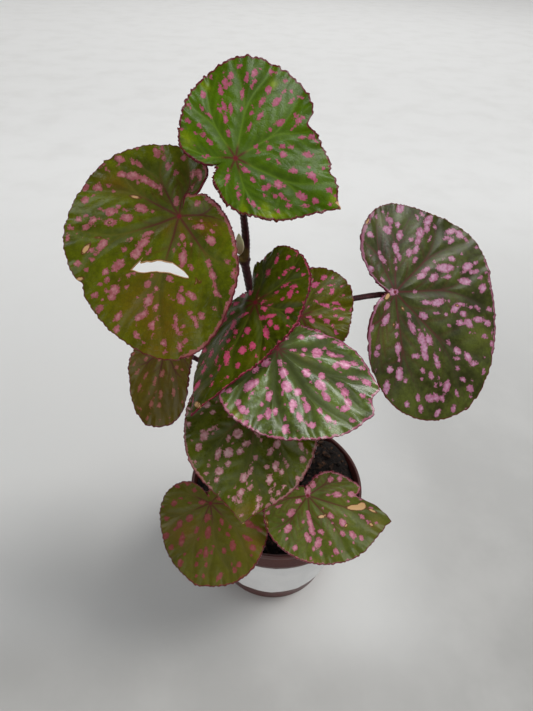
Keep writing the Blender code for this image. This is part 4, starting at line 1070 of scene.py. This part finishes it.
def blade_piece(name, leaf, finish, *finishes):
    rings = round((max(leaf["reach"]) + leaf["tip"][1]) / RING_PITCH)
    blade = ringed_disc(name + "_blade", rings)
    points = points_of(blade)
    bearing = np.degrees(np.arctan2(points[:, 1], points[:, 0]))
    ring = np.rint(np.hypot(points[:, 0], points[:, 1]) * rings).astype(int)
    step = 360 / LEAF_STEPS
    tip_at = leaf["tip"][0]
    tip_line = round(tip_at / step) * step
    bearing += (tip_at - tip_line) * bell(angle_between(bearing, tip_line), TIP_SHIFT)
    bearing[bearing < -179.99] = 180
    margin = margin_radius(leaf, bearing)
    if name == "leaf_left":
        radius, tear_distance = open_tear(blade, bearing, ring, margin)
    else:
        radius = SEAT_RADIUS + (margin - SEAT_RADIUS) * (ring - 1) / (rings - 1)
        radius[ring == 0] = 0
        tear_distance = np.ones(len(points))
    part = radius / margin

    flat = flat_place(bearing, radius)
    main_distance = vein_distance(leaf, bearing, part, radius)
    side_distance = distance_to_lines(flat, side_vein_lines(leaf))
    taper = 1.25 - 0.75 * part
    vein = bell(main_distance, MAIN_VEIN_WIDTH * taper)
    side_vein = SIDE_VEIN_STRENGTH * bell(side_distance, SIDE_VEIN_WIDTH)
    vein = np.maximum(vein, side_vein * ease(radius, SIDE_VEIN_FROM, SIDE_VEIN_FULL))

    height = relief(leaf, bearing, part, radius)
    inner = ease(radius, SEAT_RADIUS, SEAT_FADE)
    pillow = 1 - bell(np.minimum(main_distance, side_distance), PILLOW_BREADTH) - 0.5
    height += PILLOW_HEIGHT * inner * pillow * (1 - part**8)
    height += (
        RISE_HEIGHT * inner * wobble(bearing, RISE_WAVES, name + "rise") * ease(part, RISE_FROM, RISE_FULL))
    height += RUFFLE_HEIGHT * wobble(bearing, RUFFLE_WAVES, name + "ruffle") * ease(part, RUFFLE_FROM, 1)
    teeth = round(2 * math.pi * float(np.mean(margin)) / TOOTH_PITCH)
    tooth = finish.get("tooth", 1) * TOOTH_HEIGHT
    spread = radius + tooth * wobble(bearing, teeth, name + "tooth") * part**12

    turned, lift = turned_bearing(leaf, bearing, radius)
    axis, across, normal = (np.array(way) for way in leaf_axes(leaf))
    out = flat_place(turned, spread)
    places = (
        np.array(leaf["at"]) + out[:, :1] * axis + out[:, 1:] * across + (height + lift)[:, None] * normal)
    move_points(blade, places)
    spot, pale, scar = blade_marks(name, leaf, finish, places, flat)
    edge = (margin - radius) / MM
    # furrow marks where painted shade darkens the blade over the main veins
    marks = dict(
        spot=spot, vein=vein, furrow=bell(main_distance, FURROW_BREADTH) * (1 - part**3), margin=edge,
        fringe=fringe_width(finish, bearing) - edge, heart=radius / MM, pale=pale,
        scar=np.maximum(scar, DEAD_RIM - tear_distance / MM))
    for mark, values in marks.items():
        layer = blade.data.attributes.new(mark, "FLOAT", "POINT")
        layer.data.foreach_set("value", values.astype(np.float32))
    dress(blade, "leaf", name, *finishes)
    apply_modifier(blade, "SOLIDIFY", thickness=BLADE, offset=-1, material_offset=1, use_even_offset=False)
    shade(blade, angle=50)


def smooth_route(points):
    """Points on a smooth curve through the given ones."""
    places = [Vector(point) for point in points]
    places = [2 * places[0] - places[1]] + places + [2 * places[-1] - places[-2]]
    route = [
        between(*near, step / ROUTE_STEPS)
        for near in zip(places, places[1:], places[2:], places[3:]) for step in range(ROUTE_STEPS)]
    return route + [places[-2]]


def eased_route(route):
    """Rounds off the bends of a route, with its ends held."""
    for _ in range(STALK_EASING):
        route = [route[0]] + [
            0.25 * before + 0.5 * place + 0.25 * after
            for before, place, after in zip(route, route[1:], route[2:])] + [route[-1]]
    return route


def path_tube(name, route, radii):
    """A round tube along a route, as a mesh."""
    deselect()
    bpy.ops.curve.primitive_bezier_curve_add()
    path = named(name)
    path.location = (0, 0, 0)
    path.data.splines.clear()
    path.data.bevel_depth = 1
    path.data.bevel_resolution = 4
    path.data.use_fill_caps = True
    spline = path.data.splines.new("POLY")
    spline.points.add(len(route) - 1)
    for point, place, radius in zip(spline.points, route, radii):
        point.co = (*place, 1)
        point.radius = radius
    bpy.ops.object.convert(target="MESH")
    return named(name)


def cane_at(height):
    """The cane's middle and radius at a height."""
    for (low, low_radius), (high, high_radius) in zip(CANE, CANE[1:]):
        if height <= high[2]:
            part = (height - low[2]) / (high[2] - low[2])
            return Vector(low).lerp(Vector(high), part), low_radius + (high_radius - low_radius) * part
    return Vector(CANE[-1][0]), CANE[-1][1]


def stalk_tube(name, points):
    """A leaf stalk, thicker at its foot and flared under the blade."""
    leaf = LEAVES[name]
    normal = leaf_axes(leaf)[2]
    end = Vector(leaf["at"]) - normal * (BLADE + STALK_END_GAP)
    route = eased_route(smooth_route([*points, end - normal * STALK_STRAIGHT, end]))
    girth = STALK_RADIUS * STALK_GIRTHS.get(name, 1)
    last = len(route) - 1
    girths = [
        girth * (1.35 - 0.4 * min(1, step / (0.35 * last)) + 0.25 * (step / last) ** 12)
        for step in range(last + 1)]
    return path_tube("stalk", route, girths)


def cane_piece(finish):
    """The cane, its swollen nodes with a ridge round each, and the leaf stalks, grown into one."""
    places, radii = zip(*CANE)
    route = smooth_route(places)
    girths = np.interp([place.z for place in route], [place[2] for place in places], radii)
    grown = [path_tube("cane_grown", route, girths)]
    for height in NODE_HEIGHTS:
        place, radius = cane_at(height)
        for girth, length, rise in NODE_FORMS:
            deselect()
            bpy.ops.mesh.primitive_uv_sphere_add(
                segments=24, ring_count=12, radius=1, location=place + Vector((0, 0, rise)),
                scale=(girth * radius, girth * radius, length))
            grown.append(settled("node"))
    grown += [stalk_tube(name, points) for name, points in STALKS.items()]
    cane = join(grown, "cane_and_stalks")
    apply_modifier(cane, "REMESH", mode="VOXEL", voxel_size=CANE_VOXEL)
    apply_modifier(cane, "SMOOTH", factor=0.5, iterations=4)
    points = points_of(cane)
    swell = CANE_UNEVENNESS * np.sin(points[:, 2] * 2600 + 3 * np.sin(points[:, 0] * 500))
    points[:, :2] += swell[:, None]
    move_points(cane, points)
    dress(cane, "stem", "cane", finish)
    shade(cane, angle=60)


def bud_piece(finish):
    """The sheathed growing tip: a flattened, pointed bud with a keel and a groove down its length."""
    base, tip = Vector(BUD_BASE), Vector(BUD_TIP)
    along = tip - base
    deselect()
    bpy.ops.mesh.primitive_uv_sphere_add(segments=48, ring_count=32, radius=1, location=(0, 0, 0))
    bud = named("bud_sheath")
    points = points_of(bud)
    height = (points[:, 2] + 1) / 2
    girth = np.sin(math.pi * np.clip(height, 0.0001, 0.9999) ** 0.8) ** 0.8
    turn = np.arctan2(points[:, 1], points[:, 0])
    radius = girth * (1 + 0.14 * bell(turn - 1.57, 0.3) - 0.10 * bell(turn + 1.2, 0.16)) * BUD_RADIUS
    shaped = np.stack(
        (np.cos(turn) * radius, np.sin(turn) * radius * BUD_FLATNESS, height * along.length), axis=-1)
    facing = np.array(along.to_track_quat("Z", "Y").to_matrix())
    move_points(bud, shaped @ facing.T + np.array(base))
    dress(bud, "bud_green", "bud", finish)
    shade(bud, angle=60)


def body_radius(height):
    """The pot's outer radius below the collar."""
    return BASE_RADIUS + (SHOULDER_RADIUS - BASE_RADIUS) * height / COLLAR_BOTTOM


def drawn_up(name, outline):
    """A turned solid: a round face at the outline's first point, drawn on through the others,
    and left in edit mode."""
    (radius, height), *others = outline
    deselect()
    bpy.ops.mesh.primitive_circle_add(
        vertices=POT_STEPS, radius=radius, location=(0, 0, height), fill_type="NGON")
    solid = settled(name)
    edit(solid)
    for next_radius, next_height in others:
        bpy.ops.mesh.extrude_region_move(TRANSFORM_OT_translate={"value": (0, 0, next_height - height)})
        factor = next_radius / radius
        bpy.ops.transform.resize(value=(factor, factor, 1), center_override=(0, 0, next_height))
        radius, height = next_radius, next_height
    return solid


def arc(across, up, radius, start, end, count):
    """Points along an arc in the outline's plane, at angles in degrees from straight out."""
    return [
        (across + radius * math.cos(angle), up + radius * math.sin(angle))
        for angle in np.radians(np.linspace(start, end, count))]


def pot_outline():
    """Up the outside, over the rolled lip and down the inside to the floor."""
    roll = 0.0010
    lip_low = POT_HEIGHT - LIP_DEPTH
    outline = [(BASE_RADIUS - 0.0010, 0)]
    outline += arc(BASE_RADIUS - 0.0006, 0.0012, roll, -60, 0, 4)
    outline += [(body_radius(height), height) for height in np.linspace(0.004, COLLAR_BOTTOM - 0.0012, 14)]
    outline += arc(COLLAR_RADIUS - 0.0007, COLLAR_BOTTOM + 0.0004, 0.0007, -80, 0, 4)
    for rib in range(COLLAR_RIBS):
        height = COLLAR_BOTTOM + 0.0016 + rib * COLLAR_RIB_PITCH
        for rise, part in ((0, 0), (COLLAR_RIB, 0.25), (COLLAR_RIB, 0.5), (0, 0.75)):
            outline.append((COLLAR_RADIUS + rise, height + part * COLLAR_RIB_PITCH))
    outline.append((LIP_RADIUS - 0.0013, lip_low - 0.0008))
    outline += arc(LIP_RADIUS - roll, lip_low + 0.0004, roll, -70, 0, 4)
    outline += arc(LIP_RADIUS - roll, POT_HEIGHT - roll, roll, 10, 90, 5)
    outline += arc(LIP_RADIUS - WALL, POT_HEIGHT - roll, roll, 100, 180, 5)
    outline.append((COLLAR_RADIUS - WALL + 0.0002, lip_low))
    outline += [(COLLAR_RADIUS - WALL, COLLAR_BOTTOM + rise) for rise in (0.0030, 0.0016)]
    outline.append((SHOULDER_RADIUS - WALL, COLLAR_BOTTOM))
    outline.append((body_radius(FLOOR) - WALL, FLOOR))
    return outline


def pot_piece(finish):
    pot = drawn_up("pot_shell", pot_outline())
    close_solid()
    length = 1.2 * (BASE_RADIUS - DRAIN_RING)
    reach = DRAIN_RING + length / 2
    cutters = []
    for number in range(DRAIN_COUNT):
        angle = math.tau * (number + 0.5) / DRAIN_COUNT
        deselect()
        bpy.ops.mesh.primitive_cylinder_add(
            vertices=32, radius=DRAIN_RADIUS, depth=4 * FLOOR,
            location=(DRAIN_RING * math.cos(angle), DRAIN_RING * math.sin(angle), 0))
        cutters.append(settled("drain"))
        deselect()
        bpy.ops.mesh.primitive_cube_add(
            size=1, location=(reach * math.cos(angle), reach * math.sin(angle), 0), rotation=(0, 0, angle),
            scale=(length, CHANNEL_WIDTH, 2 * CHANNEL_DEPTH))
        cutters.append(settled("channel"))
    for cutter in cutters:
        apply_modifier(pot, "BOOLEAN", operation="DIFFERENCE", solver="EXACT", object=cutter)
        bpy.data.objects.remove(cutter, do_unlink=True)
    dress(pot, "pot_plastic", "pot", finish)
    shade(pot, angle=40)


def label_piece(finish):
    """A paper band round the front of the pot, a little creased, its ends just lifting."""
    deselect()
    bpy.ops.mesh.primitive_grid_add(x_subdivisions=160, y_subdivisions=32, size=1)
    label = named("label_paper")
    points = points_of(label)
    across, up = points[:, 0] * 2, points[:, 1] + 0.5
    angle = across / 2 * LABEL_SPAN - math.pi / 2
    height = LABEL_BOTTOM + (LABEL_TOP - LABEL_BOTTOM) * up
    rise = np.array([
        noise.noise(Vector((x * 16, y * 5, 0))) + 0.5 * noise.noise(Vector((x * 40, y * 12, 3)))
        for x, y, _ in points])
    crease = np.abs(np.sin(angle * 7 + 3 * up)) ** 24 * np.sin(up * 9 + angle) ** 2
    ends = ease(np.abs(across), 0.93, 1.0)
    radius = (
        body_radius(height) + LABEL_STANDOFF + 0.00022 * np.clip(rise, -0.5, 1) + 0.0002 * crease
        + 0.0008 * ends)
    move_points(label, np.stack((radius * np.cos(angle), radius * np.sin(angle), height), axis=-1))
    dress(label, "label_paper", "label", finish)
    apply_modifier(label, "SOLIDIFY", thickness=LABEL_THICKNESS, offset=-1)
    shade(label, angle=50)


def from_cane(x, y):
    return math.hypot(x - CANE[0][0][0], y - CANE[0][0][1])


def soil_height(x, y):
    """Crumbly soil, level at the front and heaped at the back right, open round the cane."""
    rough = noise.noise(Vector((x, y, 0)) * 160) + 0.6 * noise.noise(Vector((x, y, 0.02)) * 380)
    fine = 0.5 * noise.noise(Vector((x, y, 0.05)) * 900)
    off = (x - SOIL_HEAP_AT[0]) ** 2 + (y - SOIL_HEAP_AT[1]) ** 2
    heap = SOIL_HEAP * math.exp(-off / SOIL_HEAP_BREADTH**2)
    pit = SOIL_PIT * float(1 - ease(from_cane(x, y), *SOIL_PIT_EDGE))
    return SOIL_LEVEL + 0.0022 * rough + 0.0012 * fine + heap - pit


def soil_piece(finish):
    top_radius = COLLAR_RADIUS - WALL - GAP
    soil = drawn_up("soil_body", [
        (body_radius(FLOOR) - WALL - GAP, FLOOR + GAP), (SHOULDER_RADIUS - WALL - GAP, COLLAR_BOTTOM),
        (top_radius, COLLAR_BOTTOM + 0.0019), (top_radius, SOIL_LEVEL)])
    for _ in range(SOIL_RINGS - 1):
        bpy.ops.mesh.inset(thickness=top_radius / SOIL_RINGS)
    bpy.ops.mesh.poke()
    close_solid()
    points = points_of(soil)
    for index in np.flatnonzero(points[:, 2] > SOIL_LEVEL - 0.0005):
        points[index, 2] = soil_height(points[index, 0], points[index, 1])
    move_points(soil, points)
    dress(soil, "soil", "soil", finish)
    shade(soil, angle=40)


def crumbs_piece(finish):
    """Crumbs and bark on the soil: one lump, copied, turned and sized by chance, and joined."""
    draw = random.Random(7)
    deselect()
    bpy.ops.mesh.primitive_ico_sphere_add(subdivisions=1, radius=1, location=(0, 0, 0))
    lump = named("crumb")
    points = points_of(lump)
    lumps = []
    for _ in range(CRUMB_COUNT):
        radius = (COLLAR_RADIUS - WALL - 0.004) * math.sqrt(draw.random())
        angle = draw.uniform(0, math.tau)
        x, y = radius * math.cos(angle), radius * math.sin(angle)
        if from_cane(x, y) < CRUMB_CLEARANCE:
            continue
        size = draw.choice(CRUMB_SIZES)
        shape = Vector((draw.uniform(0.7, 1.6), draw.uniform(0.6, 1.1), draw.uniform(0.5, 0.9))) * size
        turn = Matrix.Rotation(draw.uniform(0, math.tau), 4, "Z")
        turn = turn @ Matrix.Rotation(draw.uniform(-0.6, 0.6), 4, "X")
        place = Matrix.Translation((x, y, soil_height(x, y) + 0.25 * size)) @ turn
        copy = lump.copy()
        copy.data = lump.data.copy()
        bpy.context.collection.objects.link(copy)
        jitter = np.array([draw.uniform(0.75, 1.25) for _ in points])
        move_points(copy, points * jitter[:, None])
        copy.data.transform(place @ Matrix.Diagonal((*shape, 1)))
        lumps.append(copy)
    bpy.data.objects.remove(lump, do_unlink=True)
    crumbs = join(lumps, "soil_crumbs")
    dress(crumbs, "soil", "soil", finish)
    shade(crumbs, angle=30)


def stem_material():
    """Streaked maroon with pale pores, and a tan-green scar round the bud."""
    made, tree, shader = new_material("maroon_stem", roughness=0.45)
    shader.inputs["Specular IOR Level"].default_value = 0.3
    place = object_place(tree)
    drawn = put(tree, "Mapping", (("Vector", place), ("Scale", (1, 1, 0.2)))).outputs[0]
    streak = put(tree, "TexNoise", (("Vector", drawn), ("Scale", 1100), ("Detail", 3))).outputs["Fac"]
    pores = put(tree, "TexVoronoi", (("Vector", place), ("Scale", 620))).outputs["Distance"]
    from_bud = put(tree, "VectorMath", ((0, place), (1, BUD_BASE)), operation="DISTANCE").outputs["Value"]
    tone = mixed(tree, stepped(tree, streak, 0.35, 0.7), "#2a0a0e", "#481a20")
    for value, start, end, strength, patch in (
            (pores, 0.20, 0.08, 0.3, "#8a5048"), (from_bud, 0.0065, 0.003, 0.75, "#6e5c26")):
        tone = mixed(tree, calc(tree, "MULTIPLY", stepped(tree, value, start, end), strength), tone, patch)
    feed(tree, shader, tone, streak, 0.00015)
    return made


def bud_material():
    made, tree, shader = new_material("bud_sheath_green", roughness=0.4)
    height = put(tree, "SeparateXYZ", (("Vector", object_place(tree)),)).outputs["Z"]
    tone = mixed(tree, stepped(tree, height, BUD_BASE[2] + 0.001, BUD_TIP[2]), "#b08a60", "#dde3a8")
    tone = mixed(tree, calc(tree, "MULTIPLY", grain(tree, 900), 0.4), tone, "#ece8c4")
    feed(tree, shader, tone, grain(tree, 1500), 0.0001)
    return made


def floor_material():
    """Pale floor, with painted light far off, and a little painted shade in front and at the right."""
    made, tree, shader = new_material("pale_floor", roughness=0.55)
    away = put(tree, "SeparateXYZ", (("Vector", object_place(tree)),)).outputs
    tone = colour("#cbcbc9")
    # Painted shade in front and at the right, and painted light far off, all in the floor's own tone
    for axis, start, end, patch in (
            ("Y", -0.05, -0.11, "#aeadaa"), ("X", 0.06, 0.17, "#a3a29f"), ("Y", -0.25, 0.9, "#f6f6f5")):
        tone = mixed(tree, stepped(tree, away[axis], start, end), tone, patch)
    cloud = stepped(tree, grain(tree, 9, 5), 0.40, 0.75)
    tone = mixed(tree, calc(tree, "MULTIPLY", cloud, 0.25), tone, "#dcdbd8")
    tree.links.new(tone, shader.inputs["Base Color"])
    return made


def set_floor():
    deselect()
    bpy.ops.mesh.primitive_plane_add(size=FLOOR_SIZE, location=(0, 0, 0))
    floor = named("floor")
    floor.data.materials.append(floor_material())


def add_light(kind, name, place, facing, power, tint):
    bpy.ops.object.light_add(type=kind, location=place)
    light = bpy.context.object
    light.name = name
    light.rotation_euler = facing.to_euler()
    light.data.energy = power
    light.data.color = tint
    return light.data


def set_lights():
    for name, towards, strength, softness, tint in SUNS:
        towards = Vector(towards)
        sun = add_light("SUN", name, towards * 2, towards.to_track_quat("Z", "Y"), strength, tint)
        sun.angle = math.radians(softness)
    for name, place, aim, size, power, tint in PANELS:
        facing = (Vector(aim) - Vector(place)).to_track_quat("-Z", "Y")
        add_light("AREA", name, place, facing, power, tint).size = size
    world = bpy.data.worlds.new("studio")
    world.use_nodes = True
    background = world.node_tree.nodes["Background"]
    background.inputs["Color"].default_value = ROOM_TINT
    background.inputs["Strength"].default_value = ROOM_STRENGTH
    bpy.context.scene.world = world
    bpy.context.scene.view_settings.view_transform = "Standard"


def set_camera():
    c, s = math.cos(CAMERA_PITCH), math.sin(CAMERA_PITCH)
    level = Matrix(((1, 0, 0), (0, s, -c), (0, c, s)))
    bpy.ops.object.camera_add(location=CAMERA_AT)
    camera = bpy.context.object
    camera.name = "photo_camera"
    camera.rotation_euler = (level @ Matrix.Rotation(CAMERA_ROLL, 3, "Z")).to_euler()
    camera.data.sensor_width = SENSOR
    camera.data.lens = FOCAL_PIXELS / PICTURE[1] * SENSOR
    camera.data.clip_start = 0.01
    camera.data.clip_end = 100
    bpy.context.scene.camera = camera


def main():
    set_camera()
    set_lights()
    set_floor()
    group = spotted_blade_group()
    underside = underside_material()
    for name, leaf in LEAVES.items():
        finish = FINISHES[name]
        blade_piece(name, leaf, finish, blade_material(name + "_spotted", finish, group), underside)
    cane_piece(stem_material())
    bud_piece(bud_material())
    pot_piece(grained_material("pot_plastic_brown"))
    label_piece(grained_material("label_paper_white"))
    soil_piece(grained_material("potting_soil"))
    crumbs_piece(grained_material("bark_crumbs"))


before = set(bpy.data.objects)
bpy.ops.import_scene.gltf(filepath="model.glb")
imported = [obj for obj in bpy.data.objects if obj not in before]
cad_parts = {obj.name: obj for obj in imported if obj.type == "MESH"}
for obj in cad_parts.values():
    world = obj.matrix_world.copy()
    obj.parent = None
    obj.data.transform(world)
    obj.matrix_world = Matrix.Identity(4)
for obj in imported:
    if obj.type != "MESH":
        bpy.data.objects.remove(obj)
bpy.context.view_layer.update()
main()
